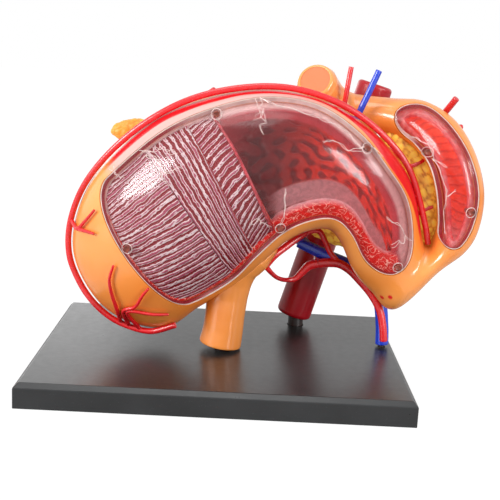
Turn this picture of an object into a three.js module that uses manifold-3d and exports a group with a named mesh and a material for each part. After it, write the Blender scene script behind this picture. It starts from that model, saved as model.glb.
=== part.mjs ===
// Desktop stomach anatomy model: a sectioned stomach and duodenum with clear front covers,
// peeled muscle layers, pancreas and main vessels, carried on three pegs over a flat stand.
// Millimetres, +Z up. The front of the model faces -Y and its origin is the middle of the
// stand's underside. The organs stand upside down: the fundus is low on the left, the greater
// curvature is on top and the oesophagus points down.
import * as THREE from 'three';
import { mergeVertices } from 'three/addons/utils/BufferGeometryUtils.js';
import Module from 'manifold-3d';

const wasm = await Module();
wasm.setup();

// Driving dimensions of the stand and its pegs
const standWidth = 130;
const standDepth = 100;
const standSide = 6.9;
const standChamfer = 1.6;
const standTop = standSide + standChamfer;
const socketDepth = 5;
const pegRise = 7;
const pegTip = 0.8;
const pegTaper = 0.6;

// Height of the peg tops that the organs' tables are drawn for
const drawnPegTop = 15.5;

// Walls and clearances
const gap = 0.3;
const shellWall = 2.2;
const coverWall = 1.9;
const liningWall = 3.3;
const liningFit = 0.6;
const liningShelf = 4.5;
const duodenumLiningWall = 1.5;
const duodenumLiningFit = 0.8;
const duodenumShelf = 2.2;
const seatMargin = 0.7;
const seamSlabBehind = 5;
const vesselLift = 0.45;

// Muscle layers: each one lies a step deeper than the layer that covers it
const muscleFront = 2.45;
const muscleStep = 0.45;
const muscleBack = 4.1;
const muscleGap = 0.02;

// Folds of the two linings
const rugaeHeight = 0.9;
const rugaeCount = 9;
const rugaeStart = 1.5;
const rugaeBends = [
  { swing: 1.1, along: 2.3, around: 0 },
  { swing: 0.7, along: 5.1, around: 3 },
];
const plicaeHeight = 0.7;
const plicaePitch = 0.72;

// Cover pins
const pinRadius = 1.1;
const pinHead = 0.5;
const bossRadius = 1.9;
const bossRise = 0.4;
const pinReach = 2.5;
const pinChamfer = 0.3;
const pinTip = 0.4;
const pinHoleFront = 6;
const pinHoleBack = 14;

// Vessel radii
const aortaRadius = 6.8;
const portalRadius = 2.45;
const splenicVeinRadius = 2.1;
const mesentericArteryRadius = 0.9;
const mesentericVeinRadius = 1.15;
const epiploicRadius = 1.1;
const epiploicBranchRadius = 0.75;
const celiacRadius = 1.8;
const splenicArteryRadius = 1.2;
const pancreaticArteryRadius = 0.85;
const colicRadius = 1.2;

// Grid fineness
const ringSides = 20;
const ringsPerStation = 1.75;
const backColumns = 12;
const duodenumColumns = 8;
const mouldSides = 14;
const coverColumns = 10;
const noseSteps = 5;
const tubeSides = 6;
const branchSides = 5;
const vesselSides = 8;
const wideTubeSides = 18;
const pinSides = 8;
const bossSides = 9;
const liningColumns = 24;
const liningEndRows = 4;
const pancreasGrid = { sides: 12, perStation: 2.4 };
const duodenumSeatGrid = { sides: 18, perStation: 2.5 };
const longitudinalShares = [0, 0.35, 0.7, 1];
const circularShares = [0, 0.5, 1];
const obliqueShares = [0, 0.5, 1];
const muscleRoomShares = [0, 0.25, 0.5, 0.75, 1];
const degree = Math.PI / 180;
const placeSearch = { start: 0.3, step: 0.1, angles: 4, fine: 0.05, finest: 0.0005, angleShare: 0.6 };

// Stomach: each station has a point [x, z] on the greater curvature and one on the lesser
// curvature, the middle's y, the half depth, and the two angles between which the front
// cover reaches, counted from the greater curvature over the front to the lesser one.
const stomach = {
  pole: true,
  stations: [
    { greater: [-46.4, 23.5], lesser: [-46.4, 23.5], y: 4, depth: 0, rim: [5, 60] },
    { greater: [-55.1, 41.1], lesser: [-34.2, 15.9], y: 3, depth: 13.5, rim: [5, 92] },
    { greater: [-52.9, 58.5], lesser: [-19.9, 14.9], y: 1, depth: 20, rim: [20, 124] },
    { greater: [-43.9, 74.4], lesser: [-8.3, 23.7], y: -1, depth: 23.5, rim: [31, 149] },
    { greater: [-26.5, 91.2], lesser: [4.4, 32.8], y: -3, depth: 25, rim: [32, 152] },
    { greater: [-8.7, 99.4], lesser: [13.4, 41.6], y: -4, depth: 24.5, rim: [29, 146] },
    { greater: [10.1, 103.1], lesser: [21.2, 49.7], y: -4, depth: 23, rim: [25, 143] },
    { greater: [28.6, 101.2], lesser: [29.1, 54.0], y: -3.5, depth: 21, rim: [24, 140] },
    { greater: [44.1, 94.1], lesser: [36.3, 54.7], y: -3, depth: 19, rim: [34, 136] },
    { greater: [56.6, 83.8], lesser: [41.3, 49.6], y: -2, depth: 17.5, rim: [44, 134] },
    { greater: [65.8, 70.5], lesser: [46.6, 39.4], y: 0, depth: 15, rim: [40, 134] },
    { greater: [71.1, 52.0], lesser: [53.7, 31.6], y: 2.5, depth: 12.5, rim: [31, 134] },
    { greater: [72.4, 50.1], lesser: [62.8, 25.1], y: 3, depth: 12, rim: [31, 134] },
  ],
  cover: { start: 2.5, startNose: 0.5, end: 11, endNose: 1.6 },
  before: [0.4, 1, 1.6, 2.1],
  along: [3.5, 4, 4.5, 5.05, 5.3, 5.55, 5.8, 6.5, 7.2, 7.9, 8.65],
};

// Duodenum: the same, with the inner side of its loop as the first rail
const duodenum = {
  pole: false,
  stations: [
    { greater: [72.4, 50.1], lesser: [62.8, 25.1], y: 3, depth: 12, rim: [6, 92] },
    { greater: [74.0, 50.1], lesser: [77.0, 40.2], y: 1.5, depth: 10.5, rim: [6, 100] },
    { greater: [75.2, 55.5], lesser: [85.9, 48.7], y: -1, depth: 9.5, rim: [6, 107] },
    { greater: [74.8, 61.9], lesser: [89.9, 57.5], y: -2, depth: 9, rim: [6, 120] },
    { greater: [73.1, 70.6], lesser: [90.3, 70.7], y: -3, depth: 8.8, rim: [6, 131] },
    { greater: [70.1, 78.8], lesser: [86.2, 84.2], y: -1.5, depth: 8.8, rim: [12, 132] },
    { greater: [65.1, 84.7], lesser: [79.1, 95.0], y: 3, depth: 8.5, rim: [25, 133] },
    { greater: [60.4, 87.1], lesser: [69.0, 100.8], y: 9, depth: 8.2, rim: [38, 150] },
    { greater: [53.8, 88.1], lesser: [57.9, 101.0], y: 16, depth: 8, rim: [52, 160] },
    { greater: [46.3, 85.5], lesser: [43.7, 101.6], y: 21, depth: 8, rim: [52, 160] },
  ],
  cover: { start: 1.7, startNose: 0.5, end: 7.8, endNose: 1.1 },
  before: [0, 0.6, 1.2],
  along: [2.7, 3.2, 3.7, 4.2, 4.7, 5.2, 5.7, 6.2],
};

// Pancreas: tail on the left, behind the stomach, and head inside the duodenum's loop
const pancreas = {
  pole: true,
  stations: [
    { greater: [-43.5, 84], lesser: [-43.5, 84], y: 9, depth: 0, rim: [0, 180] },
    { greater: [-37, 89], lesser: [-34, 79], y: 12, depth: 4.5, rim: [0, 180] },
    { greater: [-20, 86], lesser: [-17, 73], y: 24, depth: 5, rim: [0, 180] },
    { greater: [1, 77], lesser: [1, 63], y: 28, depth: 5, rim: [0, 180] },
    { greater: [22, 69], lesser: [20, 54], y: 26, depth: 5, rim: [0, 180] },
    { greater: [38, 68], lesser: [35, 46.5], y: 20, depth: 6, rim: [0, 180] },
    { greater: [50, 82], lesser: [50, 44], y: 14, depth: 6.5, rim: [0, 180] },
    { greater: [59, 90], lesser: [67, 47], y: 10, depth: 7, rim: [0, 180] },
    { greater: [69, 85], lesser: [76, 53], y: 8, depth: 6, rim: [0, 180] },
    { greater: [79, 70], lesser: [79, 70], y: 7, depth: 0.5, rim: [0, 180] },
  ],
};
const pancreasLobe = { height: 0.6, along: 3.1, around: 6, twist: 5 };

// Edges of the muscle layers: station at the greater and at the lesser side of the cover
const longitudinalEdge = [3.65, 4.15];
const circularEdge = [4.5, 5.0];
const obliqueEdge = [5.05, 5.8];

// Routes of the tubes and vessels, [x, y, z] of their middles
const oesophagusRoute = [
  [-0.4, -3, 10.1], [0.5, -3, 16], [0.9, -3, 21], [1.5, -3, 28], [2, -3, 34], [3, -3, 40],
];
const oesophagusRadii = [7.7, 7.3, 7.2, 7.4, 8.2, 10.5];
const aortaRoute = [[27.7, 32, 12.7], [53.9, 32, 105.2]];
const jejunumRoute = [
  [44.2, 21, 93.7], [39.5, 20.5, 95.5], [35, 18.5, 98.5], [32, 15, 102], [30, 11, 104.8], [29.1, 8.6, 106.2],
];
const jejunumRadii = [7.8, 7.7, 7.6, 7.5, 7.4, 6.3];
const jejunumLumen = { radius: 4.6, depth: 0.9 };
const portalRoute = [
  [27, 14, 46], [33.4, 13, 43.4], [39.2, 13, 41], [46.8, 12, 38.1], [52.5, 11, 33], [58.2, 9.3, 26.3],
  [60, 8.4, 17], [60.5, 8, 9.4],
];
const splenicVeinRoute = [[30, 14.5, 45], [22, 20, 50], [12, 26.5, 58], [0, 29.5, 65]];
const gastricArc = [
  [14.8, -2, 39.6], [18.1, 2, 43], [22.3, 4.5, 46.2], [26.3, 6.5, 49], [30.6, 8.5, 51.4],
  [34.2, 9.5, 51.3], [36.6, 10, 47.6], [38.8, 10.5, 43.4], [41.8, 10.5, 40],
];
const gastricArcRadii = [1.15, 1.3, 1.35, 1.3, 1.2, 1.1, 1.05, 1.05, 1.05];
const gastricLoop = [
  [15.2, -2, 39.2], [17.2, 1.5, 36.4], [19.6, 5, 33.9], [23, 8.5, 32.4], [26.4, 10, 32.8],
  [29.2, 10.5, 35.6], [31.3, 10.5, 37.8], [34.6, 10.5, 38.9],
];
const gastricLoopRadii = [1, 0.85, 0.8, 0.85, 1.1, 1.5, 1.7, 1.8];
const celiacTrunk = [[34.6, 10.5, 38.9], [34.9, 17, 39.4], [35.3, 25.6, 40.2]];
const hepaticRoute = [
  [34.6, 10.5, 38.9], [38.7, 10.3, 39.4], [42.5, 10.2, 39.2], [46.4, 9.6, 37.2], [50.6, 8.6, 33.4],
  [55, 7.2, 28.6], [58.2, 5.8, 23.5], [59.8, 5, 17.5], [60.6, 4.6, 11.6],
];
const hepaticRadii = [1.8, 1.75, 1.7, 1.6, 1.5, 1.4, 1.4, 1.4, 1.4];
const splenicArteryRoute = [
  [35, 20, 39.7], [28, 27, 45], [14, 32.5, 55], [-2, 33.6, 63.5], [-14, 31, 69.5],
];
const shortGastricRoute = [[2.6, -72], [3.1, -58], [3.7, -44], [4.4, -30], [5.15, -10]];
const mesentericArteryRoute = [
  [41.6, 8, 111.6], [40.4, 8, 101], [40, 9.6, 95], [40.5, 14, 88], [41.5, 17, 82], [42.3, 20, 75],
  [42.8, 25, 68],
];
const mesentericVeinRoute = [
  [51.6, 8, 110.8], [48.4, 7.8, 102.6], [45.6, 8.2, 95.4], [44.6, 13.2, 88.6], [44.6, 17.2, 82],
  [44.9, 18.5, 75], [45.2, 18.8, 68],
];
const colicRoute = [[66, 16.5, 84], [72, 15, 90], [76.4, 11.5, 96.2], [80, 8, 102.4]];
const colicBranch = [[72, 15, 90], [78, 11, 91.6], [82.6, 6.6, 92.4]];
const pancreaticRoutes = [
  [[57.5, 83.4], [61, 80.8], [64.5, 78], [67, 78.8], [69.6, 80.4]],
  [[64.5, 78], [65.8, 73.6], [66.7, 69]],
  [[67, 59.4], [69.6, 61.8], [71.6, 63.2], [73.4, 64]],
];

// Vessels on the stomach, in [station, angle] on its surface
const epiploicRoute = [
  [11.25, 15], [10.6, 11], [9.5, 10], [8.5, 10], [7.5, 11], [6.5, 12], [5.5, 13], [4.5, 14],
  [3.5, 13], [2.5, 11], [1.6, 14], [1, 22], [0.62, 48], [0.58, 90],
  [0.75, 130], [1.1, 148], [1.7, 155], [2.35, 156],
];
const fundusBranches = [
  [[1.72, 16], [1.83, 36], [2.15, 42], [2.5, 45]],
  [[1.83, 36], [2.02, 47], [2.2, 56]],
  [[1.0, 145], [1.45, 111], [1.68, 95], [1.86, 87], [2.19, 82]],
  [[1.2, 149], [1.6, 115], [1.95, 115], [2.31, 111], [2.55, 110]],
  [[1.45, 151], [1.68, 117], [2.2, 129], [2.47, 138]],
];

// Places of the support pegs under the model, and of the pins along the covers
const pegs = {
  oesophagus_peg: { x: 0.6, y: -3, radius: 3 },
  aorta_peg: { x: 28.8, y: 32, radius: 3 },
  portal_vein_peg: { x: 60.4, y: 8, radius: 1.1 },
};
const stomachPins = [[-32.8, 48.2], [-4.6, 94.4], [18.6, 57.4], [46.4, 85.4], [61, 43.6]];
const duodenumPins = [[69, 84], [84.6, 64.4]];

// Colours of the moulded pieces
const colours = {
  stand: 0x141415,
  organ: 0xf08a35,
  lining: 0xc8402f,
  mucosa: 0xd9583f,
  clear: 0xf4e4df,
  longitudinal: 0xb86b6f,
  circular: 0xa9545c,
  oblique: 0xb5606a,
  pancreas: 0xe6a736,
  artery: 0xd8141f,
  aorta: 0xa00d1c,
  vein: 0x1638c8,
  pin: 0x7a2c22,
};

// Catmull-Rom value through evenly numbered rows, with one spare row at each end
function splineValue(rows, t, pick) {
  const last = rows.length - 4;
  const index = Math.min(Math.max(Math.floor(t), 0), last);
  const u = t - index;
  const [a, b, c, d] = [0, 1, 2, 3].map((k) => pick(rows[index + k]));
  const square = (2 * a - 5 * b + 4 * c - d) * u * u;
  return 0.5 * (2 * b + (c - a) * u + square + (3 * b - a - 3 * c + d) * u * u * u);
}

// A spare row before the first one: mirrored at a round end, straight on at an open end
function spareRow(from, towards, mirrored) {
  if (mirrored) {
    return {
      greater: towards.lesser,
      lesser: towards.greater,
      y: towards.y,
      depth: -towards.depth,
      rim: towards.rim,
    };
  }
  const onward = (a, b) => 2 * a - b;
  const pair = (a, b) => [onward(a[0], b[0]), onward(a[1], b[1])];
  return {
    greater: pair(from.greater, towards.greater),
    lesser: pair(from.lesser, towards.lesser),
    y: onward(from.y, towards.y),
    depth: onward(from.depth, towards.depth),
    rim: pair(from.rim, towards.rim),
  };
}

function paddedRows(organ) {
  const rows = organ.stations;
  const before = spareRow(rows[0], rows[1], organ.pole);
  const after = spareRow(rows[rows.length - 1], rows[rows.length - 2], false);
  return [before, ...rows, after];
}
for (const organ of [stomach, duodenum, pancreas]) {
  organ.rows = paddedRows(organ);
  organ.length = organ.stations.length - 1;
}

// Point on an organ: an ellipse between the two rails, at station t and angle phi
function organPoint(organ, t, phi) {
  const value = (pick) => splineValue(organ.rows, t, pick);
  const greater = [value((row) => row.greater[0]), value((row) => row.greater[1])];
  const lesser = [value((row) => row.lesser[0]), value((row) => row.lesser[1])];
  const cosine = Math.cos(phi);
  const x = (greater[0] + lesser[0]) / 2 + ((greater[0] - lesser[0]) / 2) * cosine;
  const z = (greater[1] + lesser[1]) / 2 + ((greater[1] - lesser[1]) / 2) * cosine;
  return new THREE.Vector3(x, value((row) => row.y) - value((row) => row.depth) * Math.sin(phi), z);
}

function slopeAround(organ, t, phi) {
  const step = 0.002;
  return organPoint(organ, t, phi + step).sub(organPoint(organ, t, phi - step)).divideScalar(2 * step);
}

function slopeAlong(organ, t, phi) {
  const step = 0.002;
  return organPoint(organ, t + step, phi).sub(organPoint(organ, t - step, phi)).divideScalar(2 * step);
}

// Outward unit normal of an organ's surface
function organNormal(organ, t, phi) {
  const station = Math.max(t, organ.pole ? 0.02 : 0);
  return slopeAround(organ, station, phi).cross(slopeAlong(organ, station, phi)).normalize();
}

// Point at a distance from the organ's surface, outwards where it is positive
function offsetPoint(organ, t, phi, distance) {
  return organPoint(organ, t, phi).addScaledVector(organNormal(organ, t, phi), distance);
}

// Closed skin over rings of equal length, with a fan to a point at each end
function skin(rings, first, last) {
  const sides = rings[0].length;
  const points = [...rings.flat(), first, last];
  const faces = [];
  for (let r = 0; r < rings.length - 1; r += 1) {
    for (let s = 0; s < sides; s += 1) {
      const a = r * sides + s;
      const b = r * sides + ((s + 1) % sides);
      faces.push(a, b, b + sides, a, b + sides, a + sides);
    }
  }
  const end = (rings.length - 1) * sides;
  for (let s = 0; s < sides; s += 1) {
    const next = (s + 1) % sides;
    faces.push(points.length - 2, next, s);
    faces.push(points.length - 1, end + s, end + next);
  }
  return indexedGeometry(points, faces);
}

// Closed plate between two grids of equal size, with walls along its four edges
function plate(front, back) {
  const rows = front.length;
  const columns = front[0].length;
  const points = [...front.flat(), ...back.flat()];
  const backStart = rows * columns;
  const faces = [];
  const quad = (a, b, c, d) => faces.push(a, b, c, a, c, d);
  for (let r = 0; r < rows - 1; r += 1) {
    for (let c = 0; c < columns - 1; c += 1) {
      const a = r * columns + c;
      quad(a, a + 1, a + columns + 1, a + columns);
      quad(backStart + a, backStart + a + columns, backStart + a + columns + 1, backStart + a + 1);
    }
  }
  const wall = (a, b) => quad(b, a, backStart + a, backStart + b);
  for (let c = 0; c < columns - 1; c += 1) {
    wall(c, c + 1);
    wall((rows - 1) * columns + c + 1, (rows - 1) * columns + c);
  }
  for (let r = 0; r < rows - 1; r += 1) {
    wall((r + 1) * columns, r * columns);
    wall(r * columns + columns - 1, (r + 1) * columns + columns - 1);
  }
  return indexedGeometry(points, faces);
}

// Closed skin of an open shell: an outer and an inner grid, joined along the opening's edges
function openSkin(outer, outerEnds, inner, innerEnds, open) {
  const points = [];
  const faces = [];
  const quad = (a, b, c, d) => faces.push(a, b, c, a, c, d);
  const addGrid = (lines, ends, inwards) => {
    const width = lines[0].length;
    const base = points.length;
    points.push(...lines.flat(), ...ends);
    const [first, last] = [points.length - 2, points.length - 1];
    const end = base + (lines.length - 1) * width;
    const turned = (a, b, c) => (inwards ? faces.push(a, c, b) : faces.push(a, b, c));
    for (let c = 0; c < width - 1; c += 1) {
      for (let r = 0; r < lines.length - 1; r += 1) {
        const a = base + r * width + c;
        turned(a, a + 1, a + width + 1);
        turned(a, a + width + 1, a + width);
      }
      turned(first, base + c + 1, base + c);
      turned(last, end + c, end + c + 1);
    }
    return (r, edge) => base + r * width + (edge ? width - 1 : 0);
  };
  const onOuter = addGrid(outer, outerEnds, false);
  const onInner = addGrid(inner, innerEnds, true);
  for (let r = 0; r < open.length - 1; r += 1) {
    if (open[r] || open[r + 1]) {
      quad(onOuter(r, 0), onOuter(r + 1, 0), onInner(r + 1, 0), onInner(r, 0));
      quad(onOuter(r + 1, 1), onOuter(r, 1), onInner(r, 1), onInner(r + 1, 1));
    }
  }
  return indexedGeometry(points, faces);
}

function middle(ring) {
  const sum = ring.slice(0, -1).reduce((total, p) => total.add(p), new THREE.Vector3());
  return sum.divideScalar(ring.length - 1);
}

// Indexed geometry with its faces turned outwards
function indexedGeometry(points, faces) {
  let volume = 0;
  for (let f = 0; f < faces.length; f += 3) {
    const [a, b, c] = [points[faces[f]], points[faces[f + 1]], points[faces[f + 2]]];
    volume += a.dot(b.clone().cross(c));
  }
  const turned = volume < 0 ? faces.slice().reverse() : faces;
  const geometry = new THREE.BufferGeometry();
  const coordinates = points.flatMap((p) => [p.x, p.y, p.z]);
  geometry.setAttribute('position', new THREE.Float32BufferAttribute(coordinates, 3));
  geometry.setIndex(turned);
  return geometry;
}

// Solid from a closed geometry, for joining and cutting
function solid(geometry) {
  const bare = geometry.clone();
  bare.deleteAttribute('normal');
  bare.deleteAttribute('uv');
  const merged = mergeVertices(bare, 1e-4);
  const corners = merged.index.array;
  const kept = [];
  for (let i = 0; i < corners.length; i += 3) {
    const [a, b, c] = [corners[i], corners[i + 1], corners[i + 2]];
    if (a !== b && b !== c && c !== a) {
      kept.push(a, b, c);
    }
  }
  const mesh = new wasm.Mesh({
    numProp: 3,
    vertProperties: new Float32Array(merged.attributes.position.array),
    triVerts: new Uint32Array(kept),
  });
  return new wasm.Manifold(mesh);
}

function geometryOf(shape) {
  const mesh = shape.getMesh();
  const geometry = new THREE.BufferGeometry();
  geometry.setAttribute('position', new THREE.BufferAttribute(new Float32Array(mesh.vertProperties), 3));
  geometry.setIndex(new THREE.BufferAttribute(new Uint32Array(mesh.triVerts), 1));
  return geometry;
}

function joined(shapes) {
  return shapes.reduce((whole, shape) => whole.add(shape));
}

function cutBy(shape, tools) {
  return tools.reduce((rest, tool) => rest.subtract(tool), shape);
}

// Whole organ at a distance from its surface, between two stations. The relief function
// gives an extra distance at each station and angle.
function organSolid(organ, distance, options = {}) {
  const from = options.from ?? 0;
  const to = options.to ?? organ.length;
  const sides = options.sides ?? ringSides;
  const relief = options.relief ?? (() => 0);
  const count = Math.ceil((to - from) * (options.perStation ?? ringsPerStation));
  const rings = [];
  const firstRing = organ.pole && from === 0 ? 0.5 / ringsPerStation : from;
  for (let r = 0; r <= count; r += 1) {
    const t = firstRing + ((to - firstRing) * r) / count;
    const ring = [];
    for (let s = 0; s < sides; s += 1) {
      const phi = (2 * Math.PI * s) / sides;
      ring.push(offsetPoint(organ, t, phi, distance + relief(t, phi)));
    }
    rings.push(ring);
  }
  const first = organ.pole && from === 0 ? offsetPoint(organ, 0, 0, distance) : middle([...rings[0], null]);
  return solid(skin(rings, first, middle([...rings[rings.length - 1], null])));
}

// Start and end stations of a cover at its middle, drawn in all round by a margin
function coverSpan(organ, margin) {
  const { start, end } = organ.cover;
  const startSlope = slopeAlong(organ, start, Math.PI / 2).length();
  const endSlope = slopeAlong(organ, end, Math.PI / 2).length();
  return [start + margin / startSlope, end - margin / endSlope];
}

// Greater and lesser rim angles at a station, drawn in by a margin
function rimAngles(organ, t, margin) {
  const greater = splineValue(organ.rows, t, (row) => row.rim[0]) * degree;
  const lesser = splineValue(organ.rows, t, (row) => row.rim[1]) * degree;
  return [
    greater + margin / slopeAround(organ, t, greater).length(),
    lesser - margin / slopeAround(organ, t, lesser).length(),
  ];
}

// Share of the width between the rims that a cover column w has passed, and the share of
// its nose that it still falls short of the cover's middle
function sideShare(w) {
  return (1 - Math.cos(Math.PI * w)) / 2;
}

function noseShare(w) {
  return 1 - Math.sin(Math.PI * w);
}

// Station and angle inside a cover's outline: w runs from the greater to the lesser side,
// along runs 0 to 1 between the start and end edges, and the margin draws it in all round.
function coverPlace(organ, along, w, margin, edges = {}) {
  const { startNose, endNose } = organ.cover;
  const [start, end] = coverSpan(organ, margin);
  const side = sideShare(w);
  const edge = (pair) => pair[0] + (pair[1] - pair[0]) * side;
  const low = edges.from ? edge(edges.from) : start + startNose * noseShare(w);
  const high = edges.to ? edge(edges.to) : end - endNose * noseShare(w);
  const t = low + (high - low) * along;
  const [greater, lesser] = rimAngles(organ, t, margin);
  return [t, greater + (lesser - greater) * side];
}

// Shares along a cover at which its rim meets the rows of the shell behind it
function coverRows(organ) {
  const { start, startNose, end, endNose } = organ.cover;
  const low = start + startNose;
  const high = end - endNose;
  return [0, ...organ.along.map((t) => (t - low) / (high - low)), 1];
}

// Plate over a cover's outline, from one depth under the surface to a greater one
function coverPlate(organ, shallow, deep, margin, options = {}) {
  const shares = options.shares ?? coverRows(organ);
  const columns = options.columns ?? coverColumns;
  const grid = (depth) => shares.map((along) => Array.from({ length: columns + 1 }, (_, c) => {
    const [t, phi] = coverPlace(organ, along, c / columns, margin, options.edges);
    return offsetPoint(organ, t, phi, -depth);
  }));
  return solid(plate(grid(shallow), grid(deep)));
}

// Stations of the rows that follow a cover's outline round its start and its end
function noseRows(organ, margin) {
  const { startNose, endNose } = organ.cover;
  const [start, end] = coverSpan(organ, margin);
  const shares = Array.from(
    { length: noseSteps + 1 }, (_, k) => noseShare((0.5 * (noseSteps - k)) / noseSteps),
  );
  return [
    shares.map((share) => start + startNose * share),
    shares.map((share) => end - endNose * share).reverse(),
  ];
}

// Angles of the opening under a cover at station t. A window edge, where there is one, takes
// the place of its start. Both angles are alike where the opening is shut.
function openingAt(organ, t, margin, window) {
  const { startNose, endNose } = organ.cover;
  const [start, end] = coverSpan(organ, margin);
  const [greater, lesser] = rimAngles(organ, t, margin);
  const between = (share) => greater + (lesser - greater) * share;
  const inset = (share) => sideShare(Math.asin(1 - Math.min(Math.max(share, 0), 1)) / Math.PI);
  const endShare = inset((end - t) / endNose);
  if (window) {
    const share = (t - window[0]) / (window[1] - window[0]);
    const far = Math.min(Math.max(share, 0), 1 - endShare);
    return [between(Math.min(endShare, far)), between(far)];
  }
  const share = Math.max(inset((t - start) / startNose), endShare);
  return [between(share), between(1 - share)];
}

// Angles of one row of a shell: round the back between the edges of the seat's opening, and
// in border steps on both sides up to the edges of the shell's own, narrower opening
function rowAngles(seat, own, columns, border) {
  const step = (from, to, count, k) => from + ((to - from) * k) / count;
  const turn = 2 * Math.PI;
  const angles = [];
  for (let k = 0; k < border; k += 1) {
    angles.push(step(own[1], seat[1], border, k));
  }
  for (let k = 0; k < columns; k += 1) {
    angles.push(step(seat[1], seat[0] + turn, columns, k));
  }
  for (let k = 0; k < border; k += 1) {
    angles.push(step(seat[0] + turn, own[0] + turn, border, k));
  }
  angles.push(own[0] + turn);
  return angles;
}

// Open shell of an organ between two depths, with an opening under its cover
function openShell(organ, rows, options) {
  const { shallow, deep, columns, innerColumns = columns, border = 0, margin = -gap, window } = options;
  const relief = options.relief ?? (() => 0);
  const places = rows.map((t) => {
    const seat = openingAt(organ, t, -gap);
    const [greater, lesser] = border ? openingAt(organ, t, margin, window) : seat;
    const inSeat = (angle) => Math.min(Math.max(angle, seat[0]), seat[1]);
    return { t, seat, own: [inSeat(greater), inSeat(lesser)] };
  });
  const grid = (depth, count, from, to, relieved) => places.map(({ t, seat, own }) => {
    const station = Math.min(Math.max(t, from), to);
    return rowAngles(seat, own, count, border * (relieved ? options.innerBorder ?? 1 : 1)).map(
      (phi) => offsetPoint(organ, station, phi, -depth - (relieved ? relief(station, phi) : 0)),
    );
  });
  const ends = (depth, lines) => [
    organ.pole ? offsetPoint(organ, 0, 0, -depth) : middle(lines[0]), middle(lines[lines.length - 1]),
  ];
  const outerFrom = innerStart(organ, options.endDepth);
  const outerTo = innerEnd(organ, options.endDepth);
  const innerFrom = innerStart(organ, options.endDepth + deep - shallow);
  const innerTo = innerEnd(organ, options.endDepth + deep - shallow);
  const outer = grid(shallow, columns, outerFrom, outerTo, false);
  const inner = grid(deep, innerColumns, innerFrom, innerTo, true);
  const open = places.map(({ own }) => own[1] - own[0] > 1e-6);
  return solid(openSkin(outer, ends(shallow, outer), inner, ends(deep, inner), open));
}

// Place on an organ's front that lies over a given x and z
function frontPlace(organ, x, z) {
  let best = { miss: Infinity, t: 0, phi: 0 };
  const search = (t, phi) => {
    const point = organPoint(organ, t, phi);
    const miss = Math.hypot(point.x - x, point.z - z);
    if (miss < best.miss) {
      best = { miss, t, phi };
    }
  };
  for (let t = placeSearch.start; t <= organ.length; t += placeSearch.step) {
    for (let angle = placeSearch.angles; angle < 180; angle += placeSearch.angles) {
      search(t, angle * degree);
    }
  }
  for (let step = placeSearch.fine; step > placeSearch.finest; step /= 2) {
    const { t, phi } = best;
    for (const [dt, dp] of [[1, 0], [-1, 0], [0, 1], [0, -1], [1, 1], [-1, -1], [1, -1], [-1, 1]]) {
      search(t + dt * step, phi + dp * step * placeSearch.angleShare);
    }
  }
  return best;
}

// Round tube along points, with a radius at each point and slightly rounded ends
function tubeSolid(route, radii, options = {}) {
  const sides = options.sides ?? tubeSides;
  const extra = options.extra ?? 0;
  const round = options.round ?? 0.3;
  const curve = new THREE.CatmullRomCurve3(route.map((p) => new THREE.Vector3(...p)));
  const length = curve.getLength();
  const mean = radii.reduce((sum, r) => sum + r, 0) / radii.length;
  const steps = Math.max(options.steps ?? Math.ceil(length / (mean * 2.4)), 2);
  const radiusAt = (u) => {
    const place = u * (radii.length - 1);
    const index = Math.min(Math.floor(place), radii.length - 2);
    return radii[index] + (radii[index + 1] - radii[index]) * (place - index) + extra;
  };
  const lip = (round * mean) / length;
  const stops = [0, ...Array.from({ length: steps + 1 }, (_, k) => lip + ((1 - 2 * lip) * k) / steps), 1];
  const scales = stops.map((_, k) => (k === 0 || k === stops.length - 1 ? 1 - round : 1));
  let side = null;
  const rings = stops.map((u, k) => {
    const centre = curve.getPoint(u);
    const tangent = curve.getTangent(u);
    if (side === null) {
      side = new THREE.Vector3(0, 1, 0);
      if (Math.abs(tangent.y) > 0.9) {
        side.set(1, 0, 0);
      }
    }
    side.addScaledVector(tangent, -side.dot(tangent)).normalize();
    const other = tangent.clone().cross(side);
    const radius = radiusAt(u) * scales[k];
    return Array.from({ length: sides }, (_, s) => {
      const angle = (2 * Math.PI * s) / sides;
      const across = side.clone().multiplyScalar(radius * Math.cos(angle));
      return centre.clone().add(across).addScaledVector(other, radius * Math.sin(angle));
    });
  });
  return solid(skin(rings, curve.getPoint(0), curve.getPoint(1)));
}

// Tube of one radius, fuller by the clearance where it is used as a cutter
function vessel(route, radius, options = {}) {
  return tubeSolid(route, [radius, radius], options);
}

// Upright round bar between two heights, or along Y where it is turned
function upright(x, y, low, high, radius, sides = mouldSides) {
  const geometry = new THREE.CylinderGeometry(radius, radius, high - low, sides);
  geometry.rotateX(Math.PI / 2);
  geometry.translate(x, y, (low + high) / 2);
  return solid(geometry);
}

function alongDepth(x, z, front, back, radius, sides) {
  const geometry = new THREE.CylinderGeometry(radius, radius, back - front, sides);
  geometry.translate(x, (front + back) / 2, z);
  return solid(geometry);
}

// Flat stand with a chamfered top edge and a socket for each peg
function displayStand() {
  const rectangle = (width, depth, z) => [[1, 1], [-1, 1], [-1, -1], [1, -1]].map(
    ([sx, sy]) => new THREE.Vector3((sx * width) / 2, (sy * depth) / 2, z),
  );
  const rings = [
    rectangle(standWidth, standDepth, 0),
    rectangle(standWidth, standDepth, standSide),
    rectangle(standWidth - 2 * standChamfer, standDepth - 2 * standChamfer, standTop),
  ];
  const board = solid(skin(rings, new THREE.Vector3(0, 0, 0), new THREE.Vector3(0, 0, standTop)));
  const sockets = Object.values(pegs).map(
    (peg) => upright(peg.x, peg.y, standTop - socketDepth, standTop + 1, peg.radius + gap),
  );
  return geometryOf(cutBy(board, sockets));
}

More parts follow.
